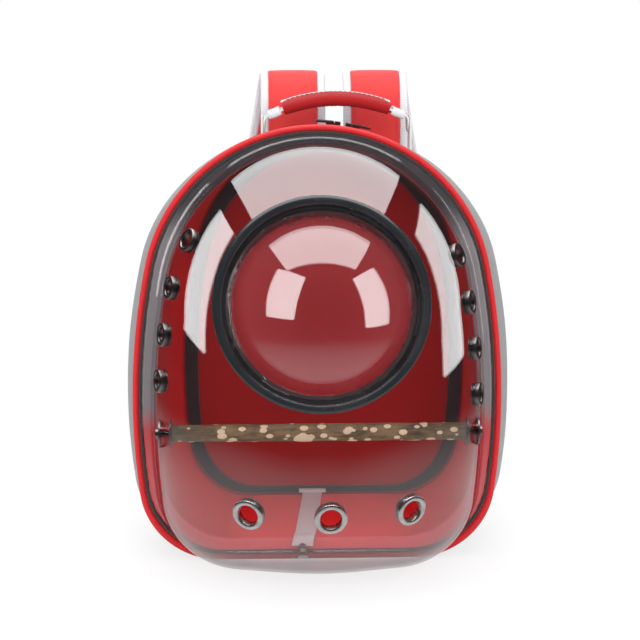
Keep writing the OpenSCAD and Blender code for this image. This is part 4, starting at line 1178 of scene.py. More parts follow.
@dataclass
class BubbleWindow:
    """The round window: black ring, inner frame, seal and clear dome with three vents."""

    shop: Workshop
    place: Placing
    ring_r: float = 94.5
    bead: float = 4.3
    skirt: float = 26.0
    dome_r: float = 79.5
    dome_h: float = 50.0
    flange_r: float = 82.5
    lug_r: float = 85.3
    flange_z: float = -13.3
    vent_r: float = 4.0

    def build(self) -> None:
        """Builds and dresses the window."""
        self.ring()
        self.dome()
        self.shop.dresser.keep(Look.BLACK_PLASTIC, "bubble_frame")
        self.shop.dresser.keep(Look.BLACK_RUBBER, "bubble_seal")

    def ring(self) -> None:
        """A round bead on a skirt."""
        mid, out = self.ring_r - self.bead, self.ring_r - 1
        a = np.radians(np.linspace(-40, 274, 30))
        arc = np.stack([mid + self.bead * np.cos(a), -self.bead + self.bead * np.sin(a)], axis=1)
        profile = np.concatenate([[[out - 3, -self.skirt], [out, -self.skirt]], arc])
        self.shop.piece("window_ring", [Patch(self.place.put(lathe(profile, 256)), True, True)], Look.BLACK_PLASTIC,
                        "door", "black_plastic", "bubble_ring", sharp=45)

    def dome(self) -> None:
        """A cap of a sphere with a flange that widens to four lugs; its vents are cut out and rimmed."""
        big = (self.dome_r**2 + self.dome_h**2) / (2 * self.dome_h)
        mid = self.flange_z + self.dome_h - big
        z0, t = self.flange_z, 2.0

        def arc(r: float, low: float) -> Array:
            a = np.linspace(math.asin((low - mid) / r), math.pi / 2, 48)
            return np.stack([r * np.cos(a), mid + r * np.sin(a)], axis=1)

        profile = np.concatenate([arc(big - t, z0)[::-1], [[self.flange_r - 0.3, z0], [self.flange_r, z0 + 0.3],
                                  [self.flange_r, z0 + t - 0.3], [self.flange_r - 0.3, z0 + t]], arc(big, z0 + t)])
        grid = lathe(profile, 240)
        turn = (np.degrees(np.arange(240) / 240 * 2 * math.pi) + 360) % 360
        lug = np.zeros(240)
        for at in LUG_TURNS:
            lug = np.maximum(lug, 1 - smoothstep(7.2, 8.6, np.abs((turn - at - 90 + 180) % 360 - 180)))
        edge = (np.hypot(grid[..., 0], grid[..., 1]) > self.flange_r - 0.6) & (grid[..., 2] < z0 + t + 0.1)
        grid[..., :2] *= (1 + edge * lug[:, None] * (self.lug_r / self.flange_r - 1))[..., None]
        obj = self.shop.maker.from_patches("window_dome", [Patch(self.place.put(grid), wrap_rows=True)], 35)
        cutters, rims = [], []
        tilt = math.asin((self.dome_r - 4.5) / big)
        a = np.linspace(0, 2 * math.pi, 14, endpoint=False)
        rim = np.stack([self.vent_r + 0.75 + 0.75 * np.cos(a), big + 0.1 + 0.7 * np.sin(a)], axis=1)
        for turn_by in VENT_TURNS:
            b = math.radians(turn_by)
            n = np.array([-math.sin(b) * math.sin(tilt), math.cos(b) * math.sin(tilt), math.cos(tilt)])
            local = Placing.facing(np.array([0, 0, mid]), n, (0, 1, 0.2))
            where = Placing(self.place.put(local.origin), self.place.axes @ local.axes)
            cutters.append(self.shop.maker.cylinder("vent", where, self.vent_r, big - 9, big + 6, 40))
            rims.append(Patch(where.put(lathe(rim, 40)), True, True))
        self.shop.maker.cut(obj, cutters)
        self.shop.dresser.dress(obj, Look.DOME, "dome", "clear_shell", "bubble_dome")
        # The lips' dark red is painted shade.
        self.shop.piece("vent_lips", rims, Look.VENT_LIP, "dome", "clear_shell", sharp=40)


# ---------------------------------------------------------------- rim and zip
@dataclass
class Rim:
    """Red binding and piping, the grey binding inside, and the zip."""

    shop: Workshop
    rim_y: float = -91.5
    zip_y: float = -79.5
    open_y: float = -74.5
    rear_y: float = -69.5
    piping_r: float = 2.6
    width: float = 8.0
    line_r: float = 1.15
    line_inset: float = 7.2
    stitch_inset: float = 5.3
    teeth_inset: float = 4.1
    hinge_top: float = 46.0
    tooth: tuple[float, float, float] = (1.5, 2.2, 2.1)
    tooth_pitch: float = 2.6

    def band(self, inset0: float, inset1: float, y0: float, y1: float, r: float, low: float | None = None) -> Array:
        """A rounded profile between two insets and two places along Y, ready for Outline.ring."""
        p = rounded_box_profile(inset1 - inset0, y1 - y0, r, 5)
        inset = p[:, 0] + (inset0 + inset1) / 2
        lows = inset if low is None else inset0 + (inset - inset0) * low
        return np.stack([inset, lows, p[:, 1] + (y0 + y1) / 2, np.zeros(len(p))], axis=1)

    def bead(self, r: float, inset: float, y: float, steps: int) -> Array:
        """A round profile at an inset and a place along Y, ready for Outline.ring."""
        p = circle_profile(r, steps)
        return np.stack([p[:, 0] + inset, p[:, 0] + inset, y + p[:, 1], np.zeros(steps)], axis=1)

    def build(self) -> None:
        """Builds and dresses the rim and the zip."""
        y = self.rim_y
        self.shop.around("rim_tape", self.band(2.2, self.width, y + 0.4, self.zip_y, 1.6), Look.RED_BINDING, "door",
                         "red_binding", "rim_binding")
        self.shop.around("rim_bead", self.bead(self.piping_r, self.piping_r, y, 20), Look.RED_PIPING, "door",
                         "red_binding", "rim_piping")
        self.shop.around("rim_inner_line", self.bead(self.line_r, self.line_inset, y - 0.1, 12), Look.WALL_TAPE,
                         "door", "dark_binding")
        inner = self.band(8.4, 22.2, y + 3.6, y + 6.8, 1.5, 0.7)
        inner[:, 2] += (inner[:, 0] - 15.3) * 0.38
        self.shop.around("inner_tape", inner, Look.GREY_TAPE, "door", "grey_binding", "inner_rim_binding")
        for part, y0, y1, body in (("front", self.zip_y, self.open_y - 0.05, "door"),
                                   ("rear", self.open_y + 0.05, self.rear_y, "body")):
            self.shop.around("zip_cloth_" + part, self.band(5.2, 6.6, y0, y1, 0.3), Look.ZIP_TAPE, body, "zip_tape",
                             "zip_tape_" + part)
        path = self.shop.outline.ring(np.array([[self.stitch_inset, self.stitch_inset, y + 0.3, 0.0]]))[:, 0]
        self.shop.stitches("rim_stitches", path, np.array([0.0, -1.0, 0.0]), Look.RED_THREAD, "door", "red_binding",
                           True)
        self.teeth()
        self.shop.dresser.keep(Look.ZIP_METAL, "zip_slider_left", "zip_slider_right", "pull_tab_left",
                               "pull_tab_right")

    def teeth(self) -> None:
        """Small interlocking teeth along the arch and the sides, above the fabric hinge."""
        path = self.shop.outline.ring(np.array([[self.teeth_inset, self.teeth_inset, self.open_y, 0.0]]))[:, 0]
        above = path[:, 2] > self.hinge_top
        first = int(np.argmax(above))
        run = path[first:first + int(above.sum())]
        along = distances(run)
        for part, sign, phase, body in (("front", -1, 0.0, "door"), ("rear", 1, 0.5, "body")):
            at = (np.arange(int(along[-1] / self.tooth_pitch) - 1) + 0.5 + phase) * self.tooth_pitch
            c = points_at(run, along, at)
            t = unit(points_at(run, along, np.minimum(at + 1, along[-1])) - c)
            side = np.broadcast_to(BACK, t.shape)
            points, faces = boxes_along(c + sign * 1.15 * BACK, (t, side, np.cross(t, side)), self.tooth, 0.7)
            obj = self.shop.maker.from_arrays("zip_row_" + part, points, faces, None, 50, weld=False)
            self.shop.dresser.dress(obj, Look.ZIP_METAL, body, "zip_metal", "zip_teeth_" + part)


# ---------------------------------------------------------------- fabric body
@dataclass
class FabricBody:
    """Side gusset, lining, back panel with its pad, floor mat and base."""

    shop: Workshop
    front_y: float = -69.5
    depth: float = 148.0
    back_inset: float = 24.0
    bulge: float = 18.0
    lean: float = 12.0
    base_t: float = 3.0
    wall_in: float = 5.1
    mat_z: float = 8.1
    mat_t: float = 4.0
    pad_low: float = 72.0
    pad_high: float = 312.0
    pad_t: float = 13.6
    channel_w: float = 3.2
    channels_x: tuple[float, ...] = (-42.0, 42.0)
    channels_z: tuple[float, ...] = (135.0, 196.0, 257.0)

    @property
    def back_y(self) -> float:
        """Where the fabric ends."""
        return self.front_y + self.depth

    def inset(self, s: float | Array) -> float | Array:
        """How far the fabric lies inside the rim, from front (0) to back (1)."""
        return 3 - self.bulge * np.sin(math.pi * s**0.7) + (self.back_inset - 3) * s**1.6

    def top_inset(self, s: float | Array) -> float | Array:
        """How far the fabric's top lies below the rim's."""
        return 3 + (self.back_inset - 3) * s

    def wall_profile(self, outside: float, thick: float, low: float, steps: int = 44) -> Array:
        """A closed profile from front to back and back again, for Outline.ring."""
        s = np.linspace(0, 1, steps)
        y, shift, top = self.front_y + s * self.depth, self.lean * s, self.top_inset(s) + outside
        out = np.stack([self.inset(s) + outside, np.full(steps, low), y, shift, top], axis=1)
        ins = np.stack([self.inset(s) + outside + thick, np.full(steps, low + thick), y, shift, top + thick], axis=1)
        return np.concatenate([out, ins[::-1]])

    def back_loop(self, inset: float, low: float) -> Array:
        """The outline at the back, as (x, z)."""
        return self.shop.outline.loop(self.inset(1.0) + inset, low, self.lean)[:, 0]

    def disc(self, loop: Array, y0: float, y1: float, rows: int = 14, dent: float = 0.0) -> list[Patch]:
        """A plate with a rounded edge; its front and rear faces are drawn in from a loop."""
        k = np.linspace(1, 0, rows)[:, None, None]
        mid = loop.mean(0)
        flat = mid + (loop[None] - mid) * k
        edge = smoothstep(0, 0.25, 1 - k[..., 0])
        front, rear = (xyz(flat[..., 0], y, flat[..., 1]) for y in (y0 + dent * edge, y1 - dent * edge))
        return [Patch(grid, wrap_cols=True) for grid in (front, rear, np.stack([front[0], rear[0]]))]

    def build(self) -> None:
        """Builds and dresses the fabric body."""
        shop = self.shop
        grid = shop.outline.ring(self.wall_profile(0, 3.0, self.base_t))
        around, along = np.meshgrid(np.linspace(0, 2 * math.pi, grid.shape[0], endpoint=False),
                                    np.linspace(0, 2, grid.shape[1]), indexing="ij")
        wave = np.sin(7 * around + 3 * along) * 0.5 + np.sin(13 * around - 5 * along) * 0.3
        fade = np.sin(math.pi * np.minimum(along, 2 - along)) ** 2 * (grid[..., 2] > 12)
        grid[..., 0] *= 1 + 0.004 * wave * fade
        shop.piece("gusset_fabric", [Patch(grid, True, True)], Look.GREY_FABRIC, "body", "grey_fabric", "side_gusset",
                   sharp=60)
        shop.around("lining_fabric", self.wall_profile(3.3, 1.5, 6.3), Look.RED_LINING, "body", "red_lining", "lining",
                    sharp=60)
        for name, s in (("front_seam", 0.02), ("back_seam", 0.965)):
            ring = np.array([[float(self.inset(s)) - 0.2, self.base_t - 0.1, self.front_y + s * self.depth,
                              self.lean * s, float(self.top_inset(s)) - 0.2]])
            path = shop.outline.ring(ring)[:, 0]
            middle = np.array([self.lean * s, path[0, 1], 200.0])
            shop.stitches("gusset_" + name, path, unit(path - middle), Look.GREY_THREAD, "body", "grey_fabric", True,
                          width=0.8)
        cord = circle_profile(2.4, 14)
        edge = np.stack([float(self.inset(1.0)) + 1.2 + cord[:, 0], self.base_t + 1.2 + cord[:, 0],
                         self.back_y + 1.0 + cord[:, 1], np.full(14, self.lean)], axis=1)
        shop.around("back_piping", edge, Look.GREY_FABRIC, "body", "grey_fabric", sharp=40)
        # The back wall's cloth is the red lining darkened with painted shade.
        shop.piece("back_wall_cloth",
                   self.disc(self.back_loop(self.wall_in, self.mat_z), self.back_y - 2, self.back_y, dent=0.3),
                   Look.DARK_RED, "body", "red_lining", "back_wall", sharp=40)
        shop.piece("back_panel_cloth",
                   self.disc(self.back_loop(1.5, self.base_t + 1.5), self.back_y, self.back_y + 3, dent=0.2),
                   Look.GREY_FABRIC, "body", "grey_fabric", "back_board", sharp=40)
        self.inner_binding()
        self.pad()
        self.mat()
        shop.dresser.keep(Look.BOARD, "base_panel")

    def inner_binding(self) -> None:
        """Binding round the back wall, as a soft rounded strip; the grey tape is drawn near-black, which is painted
        shade.
        """
        p = rounded_box_profile(13.0, 3.6, 1.6, 5)
        inset = float(self.inset(1.0)) + self.wall_in + 7.6 + p[:, 0]
        low = self.mat_z + self.mat_t + 3.5 + p[:, 0] * 0.54
        ring = np.stack([inset, low, self.back_y - 3.5 + p[:, 1], np.full(len(p), self.lean)], axis=1)
        self.shop.around("wall_binding", ring, Look.WALL_TAPE, "body", "dark_binding", "back_binding", sharp=60)

    def pad(self) -> None:
        """Soft back pad: a crowned form with sewn channels.

        Height = pad_t (1 - k^7)^(1/2) with k from the middle to the edge, less a groove at each channel.
        """
        k = np.linspace(1, 0, 60)[:, None]
        half = self.shop.outline.half_w - self.back_inset - 22
        low, high = self.pad_low, self.pad_high
        ux, uz = self.shop.outline.unit.T
        x = half * ux * k
        z = low + (high - low) * (0.5 + (uz - 0.5) * k)
        groove = np.zeros_like(x)
        for cx in self.channels_x:
            groove = np.maximum(groove, np.exp(-((x - cx) / self.channel_w) ** 2))
        for cz in self.channels_z:
            bow = cz - 8 * (x / half) ** 2
            groove = np.maximum(groove, np.exp(-((z - bow) / self.channel_w) ** 2))
        height = self.pad_t * np.sqrt(np.clip(1 - k**7, 0, 1)) * (1 - 0.42 * groove * (1 - k**8))
        y0 = self.back_y + 3
        faces = [Patch(xyz(x + self.lean, y, z), wrap_cols=True) for y in (y0 + height, y0)]
        obj = self.shop.piece("back_cushion", faces, Look.AIR_MESH, "body", "black_fabric", "back_pad", sharp=60)
        cord = circle_profile(1.8, 12)
        ring = xyz(ux[:, None] * (half + cord[:, 0]) + self.lean, y0 + 1.2 + cord[:, 1],
                   low + (high - low) * (0.5 + (uz[:, None] - 0.5) * (1 + cord[:, 0] / 120)))
        self.shop.piece("back_cushion_edge", [Patch(ring, True, True)], Look.WALL_TAPE, "body", "dark_binding",
                        sharp=40)

    def mat(self) -> None:
        """Thin padded floor mat: its sides follow the leaning floor, and its top is softly crowned."""
        s, v = np.linspace(0, 1, 60)[:, None], np.linspace(-1, 1, 40)[None, :]
        outline = self.shop.outline
        half = outline.corner_x * (outline.half_w - self.inset(s) - self.wall_in) / outline.half_w - 4
        x, y = self.lean * s + half * v, self.front_y + 1 + s * (self.depth - 7)
        edge = (1 - np.abs(v) ** 10) * (1 - np.abs(2 * s - 1) ** 14)
        top = self.mat_z + 1.2 + (self.mat_t - 1.2) * np.sqrt(np.clip(edge, 0, 1))
        up, down = xyz(x, y, top), xyz(x, y, self.mat_z)
        ring = [np.concatenate([g[0, :-1], g[:-1, -1], g[-1, :0:-1], g[:0:-1, 0]]) for g in (up, down)]
        obj = self.shop.piece("mat_cushion", [Patch(up), Patch(down), Patch(np.stack(ring), wrap_cols=True)],
                              Look.RED_FLOOR, "body", "red_lining", "floor_mat", sharp=60)


# ---------------------------------------------------------------- harness
def turned_axes(rx: float, ry: float) -> Array:
    """Axes turned about X and then about Y, in degrees."""
    a, b = math.radians(rx), math.radians(ry)
    about_x = np.array([[1, 0, 0], [0, math.cos(a), -math.sin(a)], [0, math.sin(a), math.cos(a)]])
    about_y = np.array([[math.cos(b), 0, math.sin(b)], [0, 1, 0], [-math.sin(b), 0, math.cos(b)]])
    return about_y @ about_x


@dataclass
class Handle:
    """Carrying handle: webbing in a padded sleeve, sewn to a leg at each side."""

    shop: Workshop
    x: float = 23.0
    y: float = 52.5
    width: float = 26.0
    web_t: float = 2.0
    grip_t: float = 13.0
    grip_r: float = 147.066
    grip_a: float = math.radians(20.7066)
    grip_z: float = 424.109
    swing_x: float = 70.8
    seam_z: float = 404.609
    feet: Points = ((-50.0, 379.981, -13.9343, -23.6219), (96.0, 365.236, -13.7497, 34.5193))
    lift: float = 1.05
    leg: Points = ((60.0, 410.61), (67.8, 408.11), (70.3, 405.11), (70.8, 400.61), (70.8, 391.61))
    collar: Points = ((54.6, 413.2), (60.0, 410.61), (66.8, 408.5))

    def build(self) -> None:
        """Builds and dresses the handle."""
        self.webbing()
        self.grip()
        self.collars()
        self.legs()
        self.anchors()

    def line(self) -> Array:
        """Middle line of the webbing from left to right, as (x, z) about the handle's middle."""
        leg = np.array(self.leg)
        a = np.linspace(-self.grip_a, self.grip_a, 17)
        arch = np.stack([self.grip_r * np.sin(a), self.grip_z - self.grip_r + self.grip_r * np.cos(a)], axis=1)
        return catmull(np.concatenate([leg[::-1] * [-1, 1], arch, leg]), 6)

    def webbing(self) -> None:
        """Flat tape along the line; its ends are half discs about the seams."""
        xz = self.line()
        path = xyz(xz[:, 0] + self.x, self.y, xz[:, 1])
        below = np.clip(self.seam_z - path[:, 2], 0, self.width / 2 - 0.4)
        half = np.sqrt((self.width / 2) ** 2 - below**2)
        edge = rounded_box_profile(self.width, self.web_t, 0.7, 4)
        profile = np.stack([edge[None, :, 0] * (half / (self.width / 2))[:, None],
                            np.broadcast_to(edge[None, :, 1], (len(half), len(edge)))], axis=-1)
        self.shop.piece("handle_tape", tube(sweep(path, profile, BACK)), Look.PALE_WEBBING, "handle", "pale_webbing",
                        "handle_webbing")
        for side in (-1, 1):
            at = self.x + side * self.swing_x
            a = np.linspace(0, 2 * math.pi, 24, endpoint=False)
            ring = xyz(at - side * 1.25, self.y + 8.5 * np.cos(a), self.seam_z - 1 + 6.5 * np.sin(a))
            self.shop.stitches(f"handle_seam_{'left' if side < 0 else 'right'}", ring,
                               np.array([float(-side), 0.0, 0.0]), Look.GREY_THREAD, "handle", "pale_webbing", True,
                               2.2, 1.0, 0.6)

    def grip(self) -> None:
        """Padded sleeve round the webbing: its section swells, narrows at both ends and wrinkles on the inside."""
        n = 90
        a = np.linspace(-self.grip_a, self.grip_a, n)
        path = xyz(self.x + self.grip_r * np.sin(a), self.y, self.grip_z - self.grip_r + self.grip_r * np.cos(a))
        section = rounded_box_profile(self.width + 6.6, self.grip_t, 5.4, 7)
        u = np.linspace(-1, 1, n)
        ends = (1 - 0.16 * np.abs(u) ** 10)[:, None]
        crease = 0.25 * np.sin(u * 58) * np.sin(u * 23 + 1) * (1 - u**2)
        thick = section[None, :, 1] * ends + np.where(section[None, :, 1] < 0, 1, 0.3) * crease[:, None]
        crown = 0.5 * (1 - (2 * section[None, :, 0] / self.width) ** 2).clip(0, 1) * np.sign(section[None, :, 1])
        profile = np.stack([section[None, :, 0] * ends, thick + crown - 0.35 * np.sign(section[None, :, 1])], axis=-1)
        obj = self.shop.piece("grip_sleeve", tube(sweep(path, profile, BACK)), Look.GRIP_RED, "handle", "red_fabric",
                              "handle_grip", sharp=60)
        self.edge_tape(path, a)

    def edge_tape(self, path: Array, a: Array) -> None:
        """Pale tape folded over the sleeve's rear edge, and a line of stitches on each face."""
        out = xyz(np.sin(a), 0, np.cos(a))
        tape = rounded_box_profile(5.0, 4.4, 1.8, 5)
        line = path + out * (self.grip_t / 2 - 1.9) + np.array([0.0, self.width / 2 + 0.8, 0.0])
        self.shop.piece("grip_edge_tape", tube(sweep(line, tape, BACK)), Look.PALE_EDGE, "handle", "pale_webbing",
                        sharp=60)
        for name, off in (("front", -1.0), ("rear", 1.0)):
            row = path + out * (self.grip_t / 2 + 0.02) + np.array([0.0, off * (self.width / 2 - 4), 0.0])
            self.shop.stitches("grip_stitches_" + name, row[4:-4], out[4:-4], Look.RED_THREAD, "handle", "red_fabric")

    def collars(self) -> None:
        """Pale bands that close the sleeve's two ends."""
        patches = []
        for side in (-1, 1):
            pts = catmull(np.array(self.collar), 4)
            path = xyz(self.x + side * pts[:, 0], self.y, pts[:, 1])
            u = np.linspace(-1, 1, len(path))
            swell = (1 - 0.10 * u**4)[:, None, None]
            profile = rounded_box_profile(self.width + 5, 7.2, 2.8, 5)[None] * swell
            patches += tube(sweep(path, profile, BACK))
        self.shop.piece("grip_collars", patches, Look.PALE_EDGE, "handle", "pale_webbing", "handle_collars")

    def legs(self) -> None:
        """Two short upright tapes that the webbing is sewn to."""
        patches = []
        for fx, fz, _, _ in self.feet:
            path = xyz(fx, self.y, np.linspace(fz + 1.2, self.seam_z + 3, 9))
            patches += tube(sweep(path, rounded_box_profile(self.width, self.web_t, 0.7, 4), BACK))
        self.shop.piece("handle_leg_tapes", patches, Look.PALE_WEBBING, "body", "pale_webbing", "handle_legs")

    def anchors(self) -> None:
        """Sewn feet on the fabric's slope, each with a box of stitches."""
        patches = []
        for k, (fx, fz, rx, ry) in enumerate(self.feet):
            place = Placing(np.array([fx, self.y, fz]), turned_axes(rx, ry))
            u = np.linspace(-1, 1, 13)
            path = xyz(11 * u, 0, self.lift + 1.5)
            edge = rounded_box_profile(34, 3, 1.2, 5)[None] * (1 - 0.12 * u**6)[:, None, None]
            patches += tube(place.put(sweep(path, edge, BACK)))
            ring = place.put(xyz(*rectangle(17, 29).T, self.lift + 3.05))
            self.shop.stitches(f"foot_stitches_{k}", ring, place.axes[:, 2], Look.GREY_THREAD, "body", "pale_webbing",
                               True, 2.4, 1.0, 0.6)
        self.shop.piece("handle_feet", patches, Look.PALE_WEBBING, "body", "pale_webbing", "handle_anchors")


@dataclass
class ShoulderStraps:
    """Two padded straps with grey edges, their upper anchor, lower webbing and buckles."""

    shop: Workshop
    middle: float = 23.0
    width: float = 65.0
    edge_w: float = 8.0
    thick: float = 9.0
    root: tuple[float, float, float] = (64.5, 86.3, 352.0)
    steps: int = 8
    places: Points = (
        (0, 0, -27.7), (0, 0, 0), (0, 1, 35), (0, 4, 63), (0, 11, 81), (0, 22, 91), (1, 35, 89), (3, 46, 77),
        (6, 53, 57), (12, 58, 23), (20, 60, -19), (30, 58, -65), (40, 53, -111), (50, 45, -157), (57, 38, -189),
        (57.5, 35.5, -201))
    lock: tuple[float, float, float] = (122.0, 119.097, 136.0)
    lock_tilt: float = 12.0
    web_w: float = 25.0
    yoke: Points = ((23.0, 89.0, 334.0), (158.6, 15.0, 32.0))
    yoke_rows: tuple[float, ...] = (322.5, 326.5, 345.0)
    weave: Points = (
        (-5.2, 4.0), (-4.3, 6.6), (0.0, 6.4), (3.7, 3.2), (3.7, -3.2), (0.0, -6.4), (-3.75, -9.5), (-3.75, -16.0))
    tail: Points = ((-0.2, -2.6, -34.0), (-0.1, -1.0, -18.0), (0.0, 0.2, -7.0))
    down: Points = (
        (121.0, 110.748, 116.0), (117.5, 100.5, 88.0), (112.6, 88.6, 58.0), (111.0, 85.0, 46.0), (111.0, 85.0, 34.3))
    bend_span: Points = ((122.0, 104.0, 97.0), (122.0, 114.0, 123.0))
    loop: Points = ((1.2, 24.0), (2.6, 17.0), (3.9, 12.0), (2.6, 8.2), (0.0, 7.4), (-2.6, 8.2), (-3.9, 12.0),
                    (-2.6, 17.0), (-1.2, 24.0))

    def build(self) -> None:
        """Builds and dresses the harness at the back."""
        path = catmull(np.array(self.places, float), self.steps) + np.array(self.root)
        at = np.linspace(0, len(self.places) - 1, len(path)) * 2
        taper = 1 - 0.4 * np.clip((at - 22) / 8, 0, 1)
        self.straps(path, taper)
        self.upper_anchor()
        self.lower_webbing()
        self.buckle_loops()
        self.shop.dresser.keep(Look.BLACK_PLASTIC, "ladder_lock_left", "ladder_lock_right")

    def at_lock(self, local: Array) -> Array:
        """Points (y, z) of the right ladder lock's own tilted axes, in world axes."""
        return xyz(0, *local.T) @ turned_axes(-self.lock_tilt, 0).T + self.lock

    def both(self, points: Array) -> list[tuple[str, Array]]:
        """A set of points on the right, and its mirror image on the left."""
        left = points * [-1, 1, 1] + [2 * self.middle, 0, 0]
        return [("right", points), ("left", left)]

    def straps(self, path: Array, taper: Array) -> None:
        """Padded core with a crowned section, rolled edges, and a row of stitches beside each edge."""
        core = self.width / 2 - self.edge_w
        n = len(path)
        u = np.linspace(-1, 1, 25)
        crown = self.thick / 2 * (0.80 + 0.20 * (1 - u**4))
        half = np.stack([u * core, crown], axis=1)
        section = np.concatenate([half, half[::-1] * [1, -1]])
        along = distances(path)
        ripple = 0.22 * np.sin(along / 9.0) * np.sin(along / 23.0 + 1)
        profile = np.broadcast_to(section, (n, *section.shape)).copy()
        profile[..., 1] += ripple[:, None] * np.sign(profile[..., 1]) * (1 - (profile[..., 0] / core) ** 2)
        profile[..., 0] *= taper[:, None]
        edge = rounded_box_profile(self.edge_w + 1.0, 6.6, 2.9, 6)
        for name, line in self.both(path):
            pad = self.shop.piece("strap_pad_" + name, tube(sweep(line, profile, ACROSS)), Look.RED_FABRIC, "body",
                                  "red_fabric", "shoulder_strap_" + name, sharp=60)
            bands = []
            for s in (-1, 1):
                band = np.broadcast_to(edge, (n, *edge.shape)).copy()
                band[..., 0] = (band[..., 0] + s * (core + self.edge_w / 2 - 0.5)) * taper[:, None]
                bands += tube(sweep(line, band, ACROSS))
            self.shop.piece("strap_binding_" + name, bands, Look.PALE_EDGE, "body", "grey_binding",
                            "strap_edges_" + name, sharp=60)
            _, across, up = path_frames(line, ACROSS)
            reach = core - 3.2
            level = self.thick / 2 * (0.80 + 0.20 * (1 - (reach / core) ** 4)) + 0.05
            for s in (-1, 1):
                for face in (-1, 1):
                    row = line + across * (s * reach * taper)[:, None] + up * (face * level)
                    self.shop.stitches(f"strap_stitches_{name}_{'ab'[s > 0]}{'ab'[face > 0]}", row[16:-4],
                                       face * up[16:-4], Look.RED_THREAD, "body", "red_fabric")

    def upper_anchor(self) -> None:
        """Fabric band across the back that the straps come out of, with two rows of stitches."""
        box = self.shop.maker.rounded_box("strap_yoke", *np.array(self.yoke), 4.0)
        self.shop.dresser.dress(box, Look.GREY_FABRIC, "body", "grey_fabric", "strap_anchor")
        for k, z in enumerate(self.yoke_rows):
            row = xyz(np.linspace(self.middle - 74, self.middle + 74, 30), 96.45, z)
            self.shop.stitches(f"yoke_stitches_{k}", row, BACK, Look.GREY_THREAD, "body", "grey_fabric")

    def lower_webbing(self) -> None:
        """Webbing from the foot of the back up to the buckle, woven through its slots, with a short tail."""
        woven = self.at_lock(np.array(self.weave))
        path = catmull(np.concatenate([woven[0] + self.tail, woven, self.down]), 6)
        tape = rounded_box_profile(self.web_w, 1.9, 0.7, 4)
        spans = {name: line * MM for name, line in self.both(np.array(self.bend_span))}
        for name, line in self.both(path):
            obj = self.shop.maker.from_patches("lower_tape_" + name, tube(sweep(line, tape, ACROSS)), 50)
            self.shop.dresser.bend(obj, Look.BLACK_WEBBING, ("body", "lock_" + name), "black_fabric", spans[name],
                                   *(["lower_webbing"] if name == "right" else []))
        patches = []
        for _, spot in self.both(np.array([[111.0, 85.0, 27.0]])):
            u = np.linspace(-1, 1, 11)
            line = spot + xyz(0, 0, 7 * u)
            section = rounded_box_profile(self.web_w + 6, 7.0, 2.4, 5)[None] * (1 - 0.18 * u**6)[:, None, None]
            patches += tube(sweep(line, section, ACROSS))
        self.shop.piece("lower_feet", patches, Look.BLACK_WEBBING, "body", "black_fabric", "lower_anchors")
        for name, spot in self.both(np.array([[111.0, 88.55, 27.0]])):
            seam = rectangle(23, 8.4)
            ring = spot + xyz(seam[:, 0], 0, seam[:, 1])
            self.shop.stitches("lower_foot_stitches_" + name, ring, BACK, Look.GREY_THREAD, "body",
                               "black_fabric", True, 2.2, 1.0, 0.55)

    def buckle_loops(self) -> None:
        """Short loops that hang the buckles on the straps' lower ends."""
        path = catmull(self.at_lock(np.array(self.loop)), 6)
        tape = rounded_box_profile(self.web_w, 1.5, 0.6, 4)
        for name, line in self.both(path):
            obj = self.shop.maker.from_patches("buckle_loop_" + name, tube(sweep(line, tape, ACROSS)), 50)
            span = np.array([line[0], line[0] * 0.25 + line[len(line) // 2] * 0.75]) * MM
            self.shop.dresser.bend(obj, Look.BLACK_WEBBING, ("body", "lock_" + name), "black_fabric", span)


@dataclass
class Tether:
    """Flat leash inside: webbing, its sewn end and a metal clip."""

    shop: Workshop
    width: float = 20.0
    thick: float = 1.6
    places: Points = (
        (-15.0, -107.5, 19.2), (-14.2, -98.0, 19.2), (-12.75, -83.5, 19.0), (-12.0, -72.0, 16.8),
        (-10.5, -55.5, 13.6), (-8.0, -25.0, 13.3), (-4.5, 15.0, 13.3), (0.0, 69.5, 13.3))

    def build(self) -> None:
        """Builds and dresses the leash."""
        path = catmull(np.array(self.places), 10)
        tape = rounded_box_profile(self.width, self.thick, 0.6, 4)
        obj = self.shop.piece("leash_tape", tube(sweep(path, tape, ACROSS)), Look.TETHER, "body", "pale_webbing",
                              "tether_webbing")
        u = np.linspace(-1, 1, 9)
        line = xyz(14 * u, 68.85, 15.6)
        patch = rounded_box_profile(8.6, 3.0, 1.2, 4)[None] * (1 - 0.1 * u**6)[:, None, None]
        self.shop.piece("leash_end", tube(sweep(line, patch, BACK)), Look.PALE_WEBBING, "body", "pale_webbing",
                        "tether_anchor")
        self.shop.dresser.keep(Look.STEEL, "clip_swivel", "clip_body", "clip_gate")


# ---------------------------------------------------------------- studio
@dataclass
class SoftBox:
    """One rectangular lamp that looks at the carrier: a card that glossy surfaces mirror, or a plain light."""

    name: str
    azimuth: float
    elevation: float
    far: float
    size: tuple[float, float]
    watts: float
    card: bool = False
    shown_on: tuple[str, ...] = ()


